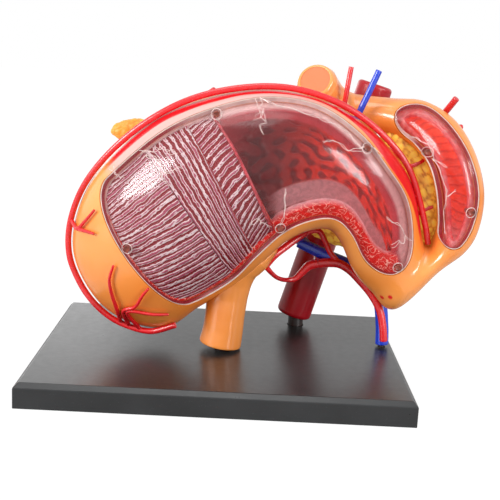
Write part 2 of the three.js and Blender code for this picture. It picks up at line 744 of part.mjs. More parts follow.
// Peg with a tapered tip, turned about its own axis
function supportPeg(peg) {
  const low = standTop - socketDepth + gap;
  const high = standTop + pegRise;
  const profile = [
    [0, low], [peg.radius, low], [peg.radius, high - pegTip], [peg.radius - pegTip * pegTaper, high],
    [0, high],
  ].map(([r, z]) => new THREE.Vector2(r, z));
  const geometry = new THREE.LatheGeometry(profile, mouldSides);
  geometry.rotateX(Math.PI / 2);
  geometry.translate(peg.x, peg.y, 0);
  return geometryOf(solid(geometry));
}

function pegBore(peg) {
  return upright(peg.x, peg.y, 0, drawnPegTop + gap, peg.radius + gap);
}

// Seats: each organ's outer shape, fuller by the clearance and by what its flats leave out
const stomachSeat = organSolid(stomach, seatMargin);
const duodenumSeat = organSolid(duodenum, seatMargin, {
  to: duodenum.length + seatMargin / slopeAlong(duodenum, duodenum.length, 0).length(), ...duodenumSeatGrid,
});
const pancreasRelief = (t, phi) => {
  const around = Math.cos(phi * pancreasLobe.around + Math.sin(t * pancreasLobe.twist));
  const lobes = Math.sin(t * pancreasLobe.along * 2) * around;
  return pancreasLobe.height * lobes * Math.min(t, 1);
};

// Slab over the seam between the pylorus and the duodenum, up to a distance in front of it
function seamSlab(reach) {
  const row = duodenum.stations[0];
  const along = new THREE.Vector2(row.greater[0] - row.lesser[0], row.greater[1] - row.lesser[1]);
  const thickness = reach + seamSlabBehind;
  const geometry = new THREE.BoxGeometry(thickness, 4 * row.depth, 2 * along.length());
  geometry.translate((reach - seamSlabBehind) / 2, 0, 0);
  geometry.rotateY(Math.PI / 2 - along.angle());
  geometry.translate((row.greater[0] + row.lesser[0]) / 2, row.y, (row.greater[1] + row.lesser[1]) / 2);
  return solid(geometry);
}

// Station at which a shell's inner ring lies at least one wall inside the organ's end section
function endStation(organ, end, wall) {
  const inwards = end === 0 ? 1 : -1;
  const ring = (t, distance) => Array.from({ length: ringSides }, (_, s) => (
    offsetPoint(organ, t, (2 * Math.PI * s) / ringSides, distance)
  ));
  const [a, b, c] = [0, 0.5, 1].map((turn) => organPoint(organ, end, turn * Math.PI));
  const across = b.clone().sub(a).cross(c.clone().sub(a)).normalize();
  const further = organPoint(organ, end + inwards, 0).add(organPoint(organ, end + inwards, Math.PI));
  if (across.dot(further.divideScalar(2).sub(a)) < 0) {
    across.negate();
  }
  let t = end;
  while (Math.min(...ring(t, -wall).map((p) => p.sub(a).dot(across))) < wall) {
    t += inwards * 0.02;
  }
  return t;
}

function innerEnd(organ, wall) {
  return endStation(organ, organ.length, wall);
}

function innerStart(organ, wall) {
  return organ.pole ? 0 : endStation(organ, 0, wall);
}

// Rear shell of an organ: its wall, open where the front cover sits
function rearShell(organ, columns) {
  const [start, end] = noseRows(organ, -gap);
  const rows = [...organ.before, ...start, ...organ.along, ...end, organ.length];
  return openShell(organ, rows, { shallow: 0, deep: shellWall, endDepth: 0, columns });
}

// Long folds of the stomach's lining, on its rear wall
function rugaeRelief(t, phi) {
  const bends = rugaeBends.map(({ swing, along, around }) => swing * Math.sin(t * along + phi * around));
  const winding = phi * rugaeCount + bends[0] + bends[1];
  const fade = Math.min(t / rugaeStart, 1);
  return rugaeHeight * fade * (Math.cos(winding) - 1) * 0.5;
}

// Ring folds of the duodenum's lining
function plicaeRelief(t) {
  return plicaeHeight * (Math.cos((2 * Math.PI * t) / plicaePitch) - 1) * 0.5;
}

// Lining of the stomach, closed under the muscle layers and open behind the clear window,
// with a shelf under the cover's border
function stomachLining() {
  const [start, end] = noseRows(stomach, -gap);
  const rows = [
    ...stomach.before, start[start.length - 1], ...stomach.along, ...end.slice(0, liningEndRows),
    stomach.length,
  ];
  const shallow = shellWall + liningFit;
  return openShell(stomach, rows, {
    shallow,
    deep: shallow + liningWall,
    endDepth: shallow,
    columns: backColumns,
    innerColumns: liningColumns,
    border: 2,
    margin: liningShelf,
    window: obliqueEdge,
    relief: rugaeRelief,
  });
}

// Lining of the duodenum, with a row on each crest and in each valley of its ring folds
function duodenumLining() {
  const count = Math.floor(duodenum.length / plicaePitch) * 2;
  const rows = Array.from({ length: count }, (_, k) => ((k + 0.5) * plicaePitch) / 2);
  const shallow = shellWall + duodenumLiningFit;
  return openShell(duodenum, rows, {
    shallow,
    deep: shallow + duodenumLiningWall,
    endDepth: shallow,
    columns: duodenumColumns,
    border: 1,
    margin: duodenumShelf,
    relief: plicaeRelief,
  });
}

// Muscle layer between two edges, lying under the clear cover
function muscleLayer(level, edges, shares) {
  return coverPlate(stomach, muscleFront + level * muscleStep, muscleBack, gap, { shares, edges });
}

function afterEdge(edge) {
  return edge.map((t) => t + muscleGap);
}

// Clear cover with a low boss round each pin's hole
function frontCover(organ, pins) {
  const wall = coverPlate(organ, 0, coverWall, 0);
  const bosses = pins.map(([x, z]) => {
    const place = frontPlace(organ, x, z);
    const foot = offsetPoint(organ, place.t, place.phi, -coverWall / 2);
    const top = offsetPoint(organ, place.t, place.phi, bossRise);
    const disc = new THREE.CylinderGeometry(bossRadius, bossRadius, foot.distanceTo(top), bossSides);
    const outwards = organNormal(organ, place.t, place.phi);
    disc.applyQuaternion(new THREE.Quaternion().setFromUnitVectors(new THREE.Vector3(0, 1, 0), outwards));
    disc.translate((foot.x + top.x) / 2, (foot.y + top.y) / 2, (foot.z + top.z) / 2);
    return solid(disc);
  });
  return cutBy(joined([wall, ...bosses]), pins.map((pin) => pinHole(organ, pin)));
}

function organPointAt(organ, x, z) {
  const { t, phi } = frontPlace(organ, x, z);
  return organPoint(organ, t, phi);
}

function pinHole(organ, [x, z]) {
  const surface = organPointAt(organ, x, z).y;
  const back = surface + coverWall + pinHoleBack;
  return alongDepth(x, z, surface - pinHoleFront, back, pinRadius + gap, pinSides);
}

// Locating pin: pushed through the cover into the lining's shelf
function coverPin(organ, [x, z], wall) {
  const surface = organPointAt(organ, x, z).y;
  const head = surface - bossRise - pinHead;
  const end = surface + shellWall + wall + pinReach;
  const profile = [
    [0, 0], [pinRadius - pinChamfer, 0], [pinRadius, pinChamfer], [pinRadius, end - head - pinTip],
    [pinRadius - pinTip, end - head], [0, end - head],
  ].map(([r, y]) => new THREE.Vector2(r, y));
  const geometry = new THREE.LatheGeometry(profile, pinSides);
  geometry.translate(x, head, z);
  return geometryOf(solid(geometry));
}

// Vessel lying on an organ, along places given as station and angle
function surfaceVessel(organ, places, radius, options = {}) {
  const route = places.map(([t, angle]) => {
    const point = offsetPoint(organ, t, angle * degree, radius + vesselLift);
    return [point.x, point.y, point.z];
  });
  return tubeSolid(route, options.radii ?? [radius, radius], options);
}

// Vessel lying on the pancreas, along places given as x and z
function pancreasVessel(places) {
  const route = places.map(([x, z]) => {
    const { t, phi } = frontPlace(pancreas, x, z);
    const point = offsetPoint(pancreas, t, phi, pancreaticArteryRadius * 0.6 + pancreasLobe.height);
    return [point.x, point.y, point.z];
  });
  const radii = [pancreaticArteryRadius, pancreaticArteryRadius * 0.8];
  return tubeSolid(route, radii, { steps: 2 * route.length });
}

const stomachPinHoles = stomachPins.map((pin) => pinHole(stomach, pin));
const duodenumPinHoles = duodenumPins.map((pin) => pinHole(duodenum, pin));
const muscleRoom = coverPlate(stomach, shellWall / 2, muscleBack + seatMargin, -gap, {
  shares: muscleRoomShares, edges: { to: afterEdge(obliqueEdge) },
});

const oesophagusTube = (extra = 0) => tubeSolid(oesophagusRoute, oesophagusRadii, {
  sides: wideTubeSides, steps: 7, round: 0.08, extra,
});
const shortGastric = (extra = 0) => surfaceVessel(stomach, shortGastricRoute, splenicArteryRadius, {
  steps: 10, extra,
});
const aortaTube = (extra = 0) => vessel(aortaRoute, aortaRadius, {
  sides: wideTubeSides, steps: 2, round: 0.12, extra,
});
const portalTube = (extra = 0) => joined([
  tubeSolid(portalRoute, [splenicVeinRadius, portalRadius, portalRadius], {
    sides: vesselSides, steps: 9, round: 0.15, extra,
  }),
  vessel(splenicVeinRoute, splenicVeinRadius, { sides: vesselSides, extra }),
]);
const gastricArtery = () => tubeSolid(gastricArc, gastricArcRadii, { steps: 14 });
const hepaticTree = (extra = 0) => joined([
  tubeSolid(gastricLoop, gastricLoopRadii, { steps: 12, extra }),
  tubeSolid(celiacTrunk, [celiacRadius, celiacRadius], { sides: vesselSides, steps: 2, extra }),
  tubeSolid(hepaticRoute, hepaticRadii, { sides: vesselSides, steps: 11, extra }),
]);
const mesentericArtery = (extra = 0) => vessel(mesentericArteryRoute, mesentericArteryRadius, {
  extra, steps: 11,
});
const mesentericVein = (extra = 0) => vessel(mesentericVeinRoute, mesentericVeinRadius, {
  extra, steps: 11,
});
const splenicArtery = (extra = 0) => vessel(splenicArteryRoute, splenicArteryRadius, { extra, steps: 9 });
const colicArtery = (extra = 0) => joined([
  vessel(colicRoute, colicRadius, { extra, steps: 8 }),
  vessel(colicBranch, colicRadius * 0.8, { extra, steps: 5 }),
]);
const jejunumTube = (extra = 0) => tubeSolid(jejunumRoute, jejunumRadii, {
  sides: wideTubeSides, steps: 7, round: 0.12, extra,
});

// Jejunum stub with a shallow round lumen in its end
function jejunumStub() {
  const end = new THREE.Vector3(...jejunumRoute[jejunumRoute.length - 1]);
  const before = new THREE.Vector3(...jejunumRoute[jejunumRoute.length - 2]);
  const outwards = end.clone().sub(before).normalize();
  const { radius, depth } = jejunumLumen;
  const lumen = new THREE.CylinderGeometry(radius, radius, 2 * depth, mouldSides);
  lumen.applyQuaternion(new THREE.Quaternion().setFromUnitVectors(new THREE.Vector3(0, 1, 0), outwards));
  lumen.translate(end.x, end.y, end.z);
  return cutBy(jejunumTube(), [stomachSeat, duodenumSeat, solid(lumen)]);
}

function gastroepiploicArtery() {
  const main = surfaceVessel(stomach, epiploicRoute, epiploicRadius, { steps: 34 });
  const branches = fundusBranches.map((places) => surfaceVessel(stomach, places, epiploicBranchRadius, {
    radii: [epiploicBranchRadius, epiploicBranchRadius * 0.6], sides: branchSides, steps: 5,
  }));
  return joined([main, ...branches]);
}

const organParts = {
  stomach_rear_shell: [cutBy(rearShell(stomach, backColumns), stomachPinHoles), colours.organ],
  stomach_lining: [cutBy(stomachLining(), [muscleRoom, ...stomachPinHoles]), colours.lining],
  longitudinal_muscle: [
    cutBy(muscleLayer(0, { to: longitudinalEdge }, longitudinalShares), stomachPinHoles),
    colours.longitudinal,
  ],
  circular_muscle: [
    muscleLayer(1, { from: afterEdge(longitudinalEdge), to: circularEdge }, circularShares),
    colours.circular,
  ],
  oblique_muscle: [
    muscleLayer(2, { from: afterEdge(circularEdge), to: obliqueEdge }, obliqueShares),
    colours.oblique,
  ],
  duodenum_rear_shell: [
    cutBy(rearShell(duodenum, duodenumColumns), [seamSlab(gap), ...duodenumPinHoles]), colours.organ,
  ],
  duodenum_lining: [cutBy(duodenumLining(), duodenumPinHoles), colours.mucosa],
  jejunum_stub: [jejunumStub(), colours.organ],
  oesophagus: [cutBy(oesophagusTube(), [stomachSeat, pegBore(pegs.oesophagus_peg)]), colours.organ],
  pancreas: [
    cutBy(organSolid(pancreas, 0, { ...pancreasGrid, relief: pancreasRelief }), [
      stomachSeat, duodenumSeat, aortaTube(gap), portalTube(gap), hepaticTree(gap), splenicArtery(gap),
      mesentericArtery(gap), mesentericVein(gap), shortGastric(gap), colicArtery(gap), jejunumTube(gap),
    ]),
    colours.pancreas,
  ],
  aorta: [cutBy(aortaTube(), [pegBore(pegs.aorta_peg), duodenumSeat, jejunumTube(gap)]), colours.aorta],
  portal_vein: [
    cutBy(portalTube(), [
      stomachSeat, duodenumSeat, aortaTube(gap), hepaticTree(gap), pegBore(pegs.portal_vein_peg),
    ]),
    colours.vein,
  ],
  hepatic_artery: [
    cutBy(hepaticTree(), [stomachSeat, duodenumSeat, aortaTube(gap), oesophagusTube(gap)]), colours.artery,
  ],
  left_gastric_artery: [
    cutBy(gastricArtery(), [stomachSeat, oesophagusTube(gap), portalTube(gap), hepaticTree(gap)]),
    colours.artery,
  ],
  splenic_artery: [
    cutBy(splenicArtery(), [stomachSeat, aortaTube(gap), portalTube(gap), hepaticTree(gap)]), colours.artery,
  ],
  short_gastric_artery: [shortGastric(), colours.artery],
  superior_mesenteric_artery: [
    cutBy(mesentericArtery(), [stomachSeat, duodenumSeat, jejunumTube(gap), aortaTube(gap)]), colours.artery,
  ],
  superior_mesenteric_vein: [
    cutBy(mesentericVein(), [stomachSeat, duodenumSeat, jejunumTube(gap), mesentericArtery(gap)]),
    colours.vein,
  ],
  gastroepiploic_artery: [gastroepiploicArtery(), colours.artery],
  colic_artery: [cutBy(colicArtery(), [duodenumSeat]), colours.artery],
};

const model = new THREE.Group();
const organs = new THREE.Group();
const stomachCover = new THREE.Group();
const duodenumCover = new THREE.Group();
model.add(organs, stomachCover, duodenumCover);
for (const group of [organs, stomachCover, duodenumCover]) {
  group.position.z = standTop + pegRise - drawnPegTop;
}

function addPiece(group, name, geometry, colour, finish = {}) {
  geometry.computeVertexNormals();
  const look = { color: colour, roughness: 0.35, metalness: 0, ...finish };
  const material = new THREE.MeshStandardMaterial(look);
  const mesh = new THREE.Mesh(geometry, material);
  mesh.name = name;
  group.add(mesh);
}

addPiece(model, 'display_stand', displayStand(), colours.stand, { roughness: 0.2 });
for (const [name, peg] of Object.entries(pegs)) {
  addPiece(model, name, supportPeg(peg), colours.stand);
}
for (const [name, [shape, colour]] of Object.entries(organParts)) {
  addPiece(organs, name, geometryOf(shape), colour);
}
const pancreasBody = organSolid(pancreas, gap, { ...pancreasGrid, relief: pancreasRelief });
const [trunkRoute, branchRoute, lowerRoute] = pancreaticRoutes;
const pancreaticArteries = {
  pancreatic_artery_upper: joined([trunkRoute, branchRoute].map(pancreasVessel)),
  pancreatic_artery_lower: pancreasVessel(lowerRoute),
};
for (const [name, shape] of Object.entries(pancreaticArteries)) {
  const freed = cutBy(shape, [stomachSeat, duodenumSeat, pancreasBody]);
  addPiece(organs, name, geometryOf(freed), colours.artery);
}

const clearFinish = { roughness: 0.08, transparent: true, opacity: 0.3 };
const covers = [
  { name: 'stomach', group: stomachCover, organ: stomach, pins: stomachPins, wall: liningWall },
  { name: 'duodenum', group: duodenumCover, organ: duodenum, pins: duodenumPins, wall: duodenumLiningWall },
];
for (const { name, group, organ, pins, wall } of covers) {
  addPiece(group, `${name}_front_cover`, geometryOf(frontCover(organ, pins)), colours.clear, clearFinish);
  pins.forEach((pin, index) => {
    addPiece(group, `${name}_cover_pin_${index + 1}`, coverPin(organ, pin, wall), colours.pin);
  });
}

export default model;
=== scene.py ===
"""Stomach anatomy model: finished surfaces, materials, light and camera around its CAD frame.

The organs stand upside down on three pegs over a black board. Lengths in the tables below are
millimetres, as in the construction, and are turned into metres where a mesh is made.
"""
import math

import bmesh
import bpy
import numpy as np
from bpy.props import FloatProperty, FloatVectorProperty, IntProperty, PointerProperty
from mathutils import Matrix, Vector


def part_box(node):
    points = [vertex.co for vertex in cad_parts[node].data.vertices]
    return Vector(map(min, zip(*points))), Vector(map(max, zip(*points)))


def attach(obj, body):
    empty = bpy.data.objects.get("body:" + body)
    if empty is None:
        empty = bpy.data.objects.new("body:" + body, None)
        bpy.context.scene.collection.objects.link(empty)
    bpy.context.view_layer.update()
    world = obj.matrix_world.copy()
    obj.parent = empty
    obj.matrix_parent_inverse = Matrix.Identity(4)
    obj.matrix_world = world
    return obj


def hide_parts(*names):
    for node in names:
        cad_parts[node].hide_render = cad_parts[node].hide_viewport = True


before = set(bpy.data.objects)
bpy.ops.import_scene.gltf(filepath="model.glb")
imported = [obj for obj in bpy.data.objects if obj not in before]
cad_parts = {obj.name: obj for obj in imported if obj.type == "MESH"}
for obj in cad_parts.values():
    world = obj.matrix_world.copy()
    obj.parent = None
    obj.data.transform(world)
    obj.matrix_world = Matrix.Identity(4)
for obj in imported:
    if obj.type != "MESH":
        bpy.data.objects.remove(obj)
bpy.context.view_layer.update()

bl_info = {
    "name": "Stomach anatomy model",
    "version": (1, 0, 0),
    "blender": (4, 5, 0),
    "location": "View3D > Sidebar > Anatomy",
    "description": "Builds the finished pieces of a sectioned stomach model",
    "category": "Add Mesh",
}

# Lamps: turn and rise of their direction, width and height, all in degrees, and radiance
PANELS = {
    "left_panel": (-58.0, 20.0, 23.0, 20.0, 18.5),
    "right_strip": (42.0, 14.0, 8.0, 30.0, 18.0),
    "right_panel": (70.0, 22.0, 15.0, 12.0, 11.0),
    "top_panel": (-30.0, 74.0, 40.0, 28.0, 3.0),
    "rear_panel": (-157.0, 9.0, 26.0, 12.0, 1.9),
}
PANEL_DISTANCE = 0.8
LIT_POINT = (0.01, 0.0, 0.06)

# Point that the camera looks at, in millimetres
CAMERA_TARGET = (8.88, 0.0, 44.96)

# Floor in metres: half its side and how far it lies under the board. Then the share of it that
# the camera sees as light, and that light's strength.
FLOOR_REACH = 3.0
FLOOR_DROP = 0.0002
FLOOR_SHARE = 0.86
FLOOR_GLOW = 1.12

MM = 0.001
TURN = 2.0 * math.pi

# Whole numbers that turn a cell's coordinates into an even random number
HASH_FACTORS = (73856093, 19349663, 83492791)
HASH_STRIDE = 2654435761
HASH_MIXER = 1274126177
HASH_MASK = 0xFFFFFF

# Steps that slopes are measured over: in t and phi, and in shares of a centreline
SLOPE_STEP = 0.002
LINE_STEP = 0.0005

# First station after a pole that a normal is taken at, and a shell's first row after a pole
POLE_REACH = 0.02
POLE_ROW = 0.05

# Search for a front point: rounds, steps each way and how much finer each round is
SEARCH_ROUNDS = 7
SEARCH_STEPS = 41
SEARCH_SHRINK = 0.2

# Sections of an organ that points are held under, and the distance at which doubles merge
WALL_SECTIONS = 360
MERGE_DISTANCE = 0.004

# Stations of the organs: greater side x and z, lesser side x and z, the middle's y, the half
# depth, and the two angles in degrees between which the front cover reaches.
STOMACH_STATIONS = (
    (-46.4, 23.5, -46.4, 23.5, 4.0, 0.0, 5.0, 60.0),
    (-55.1, 41.1, -34.2, 15.9, 3.0, 13.5, 5.0, 92.0),
    (-52.9, 58.5, -19.9, 14.9, 1.0, 20.0, 20.0, 124.0),
    (-43.9, 74.4, -8.3, 23.7, -1.0, 23.5, 31.0, 149.0),
    (-26.5, 91.2, 4.4, 32.8, -3.0, 25.0, 32.0, 152.0),
    (-8.7, 99.4, 13.4, 41.6, -4.0, 24.5, 29.0, 146.0),
    (10.1, 103.1, 21.2, 49.7, -4.0, 23.0, 25.0, 143.0),
    (28.6, 101.2, 29.1, 54.0, -3.5, 21.0, 24.0, 140.0),
    (44.1, 94.1, 36.3, 54.7, -3.0, 19.0, 34.0, 136.0),
    (56.6, 83.8, 41.3, 49.6, -2.0, 17.5, 44.0, 134.0),
    (65.8, 70.5, 46.6, 39.4, 0.0, 15.0, 40.0, 134.0),
    (71.1, 52.0, 53.7, 31.6, 2.5, 12.5, 31.0, 134.0),
    (72.4, 50.1, 62.8, 25.1, 3.0, 12.0, 31.0, 134.0),
)
DUODENUM_STATIONS = (
    (72.4, 50.1, 62.8, 25.1, 3.0, 12.0, 6.0, 92.0),
    (74.0, 50.1, 77.0, 40.2, 1.5, 10.5, 6.0, 100.0),
    (75.2, 55.5, 85.9, 48.7, -1.0, 9.5, 6.0, 107.0),
    (74.8, 61.9, 89.9, 57.5, -2.0, 9.0, 6.0, 120.0),
    (73.1, 70.6, 90.3, 70.7, -3.0, 8.8, 6.0, 131.0),
    (70.1, 78.8, 86.2, 84.2, -1.5, 8.8, 12.0, 132.0),
    (65.1, 84.7, 79.1, 95.0, 3.0, 8.5, 25.0, 133.0),
    (60.4, 87.1, 69.0, 100.8, 9.0, 8.2, 38.0, 150.0),
    (53.8, 88.1, 57.9, 101.0, 16.0, 8.0, 52.0, 160.0),
    (46.3, 85.5, 43.7, 101.6, 21.0, 8.0, 52.0, 160.0),
)
PANCREAS_STATIONS = (
    (-43.5, 84.0, -43.5, 84.0, 9.0, 0.0, 0.0, 180.0),
    (-37.0, 89.0, -34.0, 79.0, 12.0, 4.5, 0.0, 180.0),
    (-20.0, 86.0, -17.0, 73.0, 24.0, 5.0, 0.0, 180.0),
    (1.0, 77.0, 1.0, 63.0, 28.0, 5.0, 0.0, 180.0),
    (22.0, 69.0, 20.0, 54.0, 26.0, 5.0, 0.0, 180.0),
    (38.0, 68.0, 35.0, 46.5, 20.0, 6.0, 0.0, 180.0),
    (50.0, 82.0, 50.0, 44.0, 14.0, 6.5, 0.0, 180.0),
    (59.0, 90.0, 67.0, 47.0, 10.0, 7.0, 0.0, 180.0),
    (69.0, 85.0, 76.0, 53.0, 8.0, 6.0, 0.0, 180.0),
    (79.0, 70.0, 79.0, 70.0, 7.0, 0.5, 0.0, 180.0),
)

# Outline of each cover along its organ: start, length of the start's nose, end, end's nose
STOMACH_COVER = (2.5, 0.5, 11.0, 1.6)
DUODENUM_COVER = (1.7, 0.5, 7.8, 1.1)

# Walls, gaps and depths under an organ's surface, and the swell of the pancreas's head
SHELL_WALL = 2.2
SEAT_GAP = 0.3
COVER_WALL = 1.9
LINING_TOP = 2.8
LINING_WALL = 3.3
LINING_SHELF = 4.5
DUODENUM_LINING_TOP = 3.0
DUODENUM_LINING_WALL = 1.5
DUODENUM_SHELF = 2.2
UNDER_MUSCLE = 4.9
MUSCLE_BACK = 4.1
MUSCLE_FLOOR = 0.4
RIM_DEPTH = 3.1
PANCREAS_SWELL = 1.5

# Insets at an organ's ends as stations, and millimetres to a station at the stomach's end
SHELL_END = 0.25
DUODENUM_LINING_ENDS = (0.3, 0.45)
END_STATION = 11.0

# Painted shade of the linings from the valleys to halfway up, and the painted height of a flat shelf
PAINTED_VALLEY_SHADE = (0.34, 0.05, 0.06)
PAINTED_MIDDLE_SHADE = (0.7, 0.45, 0.42)
FLAT = 0.9

# Folds of the stomach: samples of their noise along each side, its millimetres to a station and
# round the wall, how much longer the folds are along it, then the spread, contrast and fill
FOLD_SAMPLES = 640
FOLD_STATION = 17.0
FOLD_RADIUS = 20.0
FOLD_STRETCH = 1.7
FOLD_SPREAD = 0.3
FOLD_CONTRAST = 1.5
FOLD_FILL = 0.45
FOLD_SEED = 11

# Looks of the stomach's lining, each as the two values between which it comes in: the smooth
# wall, as shares of the way round, the ledge, as distances from the edge and as stations, the
# antrum, the edge's line, and the fades of the shelf, as shares of its width and as stations
SMOOTH_WALL = (0.6, 0.78)
LEDGE_WIDTH = (2.8, 4.2)
LEDGE_START = (5.6, 6.3)
ANTRUM_START = (6.0, 8.0)
EDGE_LINE = (0.0, 0.018)
SHELF_FADE = (0.4, 1.0)
SHELF_PALE = (7.5, 9.5)

# Rings of the duodenum: amount, size and seed of each drift, their power, and the share of the
# way round over which they fade at both edges
RING_DRIFTS = ((0.35, 7.0, 3), (0.12, 2.0, 4))
RING_POWER = 0.55
RING_FADE = 0.12

# Painted band on the stomach: the artery's stations that it follows, the two stations between
# which it starts, widens to its full share and ends, where its border ends, and the dots' radii
BAND_PLACES = 11
BAND_START = (2.9, 3.3)
BAND_WIDENING = (7.0, 9.0)
BAND_FULL = 0.9
BAND_END = (10.6, 11.1)
BORDER_END = (6.5, 8.5)
DOT_EDGE = (0.7, 1.1)

# Edges of the muscle layers, as stations at the greater and at the lesser side
LONGITUDINAL_EDGE = (3.65, 4.15)
CIRCULAR_EDGE = (4.5, 5.0)
OBLIQUE_EDGE = (5.05, 5.8)

# Gap between two layers, in stations, and their length from the greater rim to the lesser one
MUSCLE_GAP = 0.02
PANEL_LENGTH = 76.0

# Muscle layers: far edge, then depth, rows, columns, reach along the organ, how the fibres
# follow each other along and to the side, amount and size of their slow drift, amount of their
# fine drift, power of their profile, and seed
MUSCLES = {
    "longitudinal": (LONGITUDINAL_EDGE, (2.45, 100, 420, 28.0, (0.0, 1.0), 0.5, 13.0, 0.16, 1.3, 21)),
    "circular": (CIRCULAR_EDGE, (2.9, 90, 300, 14.0, (1.0, 0.0), 0.25, 16.0, 0.1, 1.6, 23)),
    "oblique": (OBLIQUE_EDGE, (3.35, 90, 420, 13.0, (0.08, 1.0), 0.5, 14.0, 0.16, 2.3, 25)),
}

# Routes of the tubes and vessels, as the points of their middles
OESOPHAGUS_ROUTE = (
    (-0.4, -3, 10.1), (0.5, -3, 16), (0.9, -3, 21), (1.5, -3, 28), (2, -3, 34), (3.2, -3, 40),
    (6.5, -3, 46), (11, -3, 52),
)
OESOPHAGUS_RADII = (7.7, 7.3, 7.2, 7.4, 8.2, 9.8, 11.0, 10.0)
AORTA_ROUTE = ((27.7, 32, 12.7), (40.8, 32, 58.95), (53.9, 32, 105.2))
JEJUNUM_ROUTE = (
    (44.2, 21, 93.7), (39.5, 20.5, 95.5), (35, 18.5, 98.5), (32, 15, 102), (30, 11, 104.8),
    (29.1, 8.6, 106.2),
)
JEJUNUM_RADII = (7.8, 7.7, 7.6, 7.5, 7.4, 6.3)
JEJUNUM_LUMEN = (5.6, 0.3)
PORTAL_ROUTE = (
    (27, 14, 46), (33.4, 13, 43.4), (39.2, 13, 41), (46.8, 12, 38.1), (52.5, 11, 33),
    (58.2, 9.3, 26.3), (60, 8.4, 17), (60.5, 8, 9.4),
)
SPLENIC_VEIN_ROUTE = ((30, 14.5, 45), (22, 20, 50), (12, 26.5, 58), (0, 29.5, 65))
GASTRIC_ARC = (
    (14.8, -2, 39.6), (18.1, 2, 43), (22.3, 4.5, 46.2), (26.3, 6.5, 49), (30.6, 8.5, 51.4),
    (34.2, 9.5, 51.3), (36.6, 10, 47.6), (38.8, 10.5, 43.4), (41.8, 10.5, 40),
)
GASTRIC_ARC_RADII = (1.15, 1.3, 1.35, 1.3, 1.2, 1.1, 1.05, 1.05, 1.05)
GASTRIC_LOOP = (
    (15.2, -2, 39.2), (17.2, 1.5, 36.4), (19.6, 5, 33.9), (23, 8.5, 32.4), (26.4, 10, 32.8),
    (29.2, 10.5, 35.6), (31.3, 10.5, 37.8), (34.6, 10.5, 38.9),
)
GASTRIC_LOOP_RADII = (1, 0.85, 0.8, 0.85, 1.1, 1.5, 1.7, 1.8)
COELIAC_TRUNK = ((34.6, 10.5, 38.9), (34.9, 17, 39.4), (35.3, 25.6, 40.2))
HEPATIC_ROUTE = (
    (34.6, 10.5, 38.9), (38.7, 10.3, 39.4), (42.5, 10.2, 39.2), (46.4, 9.6, 37.2),
    (50.6, 8.6, 33.4), (55, 7.2, 28.6), (58.2, 5.8, 23.5), (59.8, 5, 17.5), (60.6, 4.6, 11.6),
)
HEPATIC_RADII = (1.8, 1.75, 1.7, 1.6, 1.5, 1.4, 1.4, 1.4, 1.4)
SPLENIC_ARTERY_ROUTE = (
    (35, 20, 39.7), (28, 27, 45), (14, 32.5, 55), (-2, 33.6, 63.5), (-14, 31, 69.5),
)
MESENTERIC_ARTERY_ROUTE = (
    (41.6, 8, 111.6), (40.4, 8, 101), (40, 9.6, 95), (40.5, 14, 88), (41.5, 17, 82),
    (42.3, 20, 75), (42.8, 25, 68),
)
MESENTERIC_VEIN_ROUTE = (
    (51.6, 8, 110.8), (48.4, 7.8, 102.6), (45.6, 8.2, 95.4), (44.6, 13.2, 88.6),
    (44.6, 17.2, 82), (44.9, 18.5, 75), (45.2, 18.8, 68),
)
COLIC_ROUTE = ((66, 16.5, 84), (72, 15, 90), (76.4, 11.5, 96.2), (80, 8, 102.4))
COLIC_BRANCH = ((72, 15, 90), (78, 11, 91.6), (82.6, 6.6, 92.4))
PANCREATIC_ROUTES = (
    ((57.5, 83.4), (61, 80.8), (64.5, 78), (67, 78.8), (69.6, 80.4)),
    ((64.5, 78), (65.8, 73.6), (66.7, 69)),
    ((67, 59.4), (69.6, 61.8), (71.6, 63.2), (73.4, 64)),
)

# Vessels on the stomach, as stations and angles in degrees on its surface
SHORT_GASTRIC_ROUTE = ((2.6, -72), (3.1, -58), (3.7, -44), (4.4, -30), (5.15, -10))
EPIPLOIC_ROUTE = (
    (11.25, 15), (10.6, 11), (9.5, 10), (8.5, 10), (7.5, 11), (6.5, 12), (5.5, 13), (4.5, 14),
    (3.5, 13), (2.5, 11), (1.6, 14), (1, 22), (0.62, 48), (0.58, 90), (0.75, 130), (1.1, 148),
    (1.7, 155), (2.35, 156),
)
FUNDUS_BRANCHES = (
    ((1.72, 16), (1.83, 36), (2.15, 42), (2.5, 45)),
    ((1.83, 36), (2.02, 47), (2.2, 56)),
    ((1.0, 145), (1.45, 111), (1.68, 95), (1.86, 87), (2.19, 82)),
    ((1.2, 149), (1.6, 115), (1.95, 115), (2.31, 111), (2.55, 110)),
    ((1.45, 151), (1.68, 117), (2.2, 129), (2.47, 138)),
)

# Raised lines moulded on the covers, as stations and angles in degrees
STOMACH_LINES = (
    ((5.92, 26), (5.91, 38), (5.95, 42), (5.92, 51), (5.88, 61)),
    ((5.95, 28), (6.27, 36), (6.7, 41), (7.18, 44), (7.71, 44), (8.14, 52)),
    ((8.14, 52), (7.8, 61), (7.37, 62), (7.13, 63)),
    ((8.14, 52), (8.43, 42), (8.77, 41)),
    ((9.61, 83), (9.98, 74), (10.2, 69), (10.4, 66), (10.64, 52)),
    ((10.4, 66), (10.46, 71), (10.35, 80), (10.24, 90)),
    ((6.17, 103), (6.14, 115), (6.08, 125), (5.87, 131)),
    ((3.68, 39), (3.82, 47), (3.85, 58), (3.84, 63), (3.88, 68)),
    ((3.85, 58), (4.0, 61), (4.17, 65)),
    ((3.6, 36), (3.83, 42), (3.96, 44), (4.08, 48), (4.2, 54)),
    ((3.15, 27), (3.21, 38), (3.27, 44)),
    ((5.15, 114), (5.3, 116), (5.47, 120), (5.62, 129)),
    ((5.95, 42), (5.78, 47)),
)
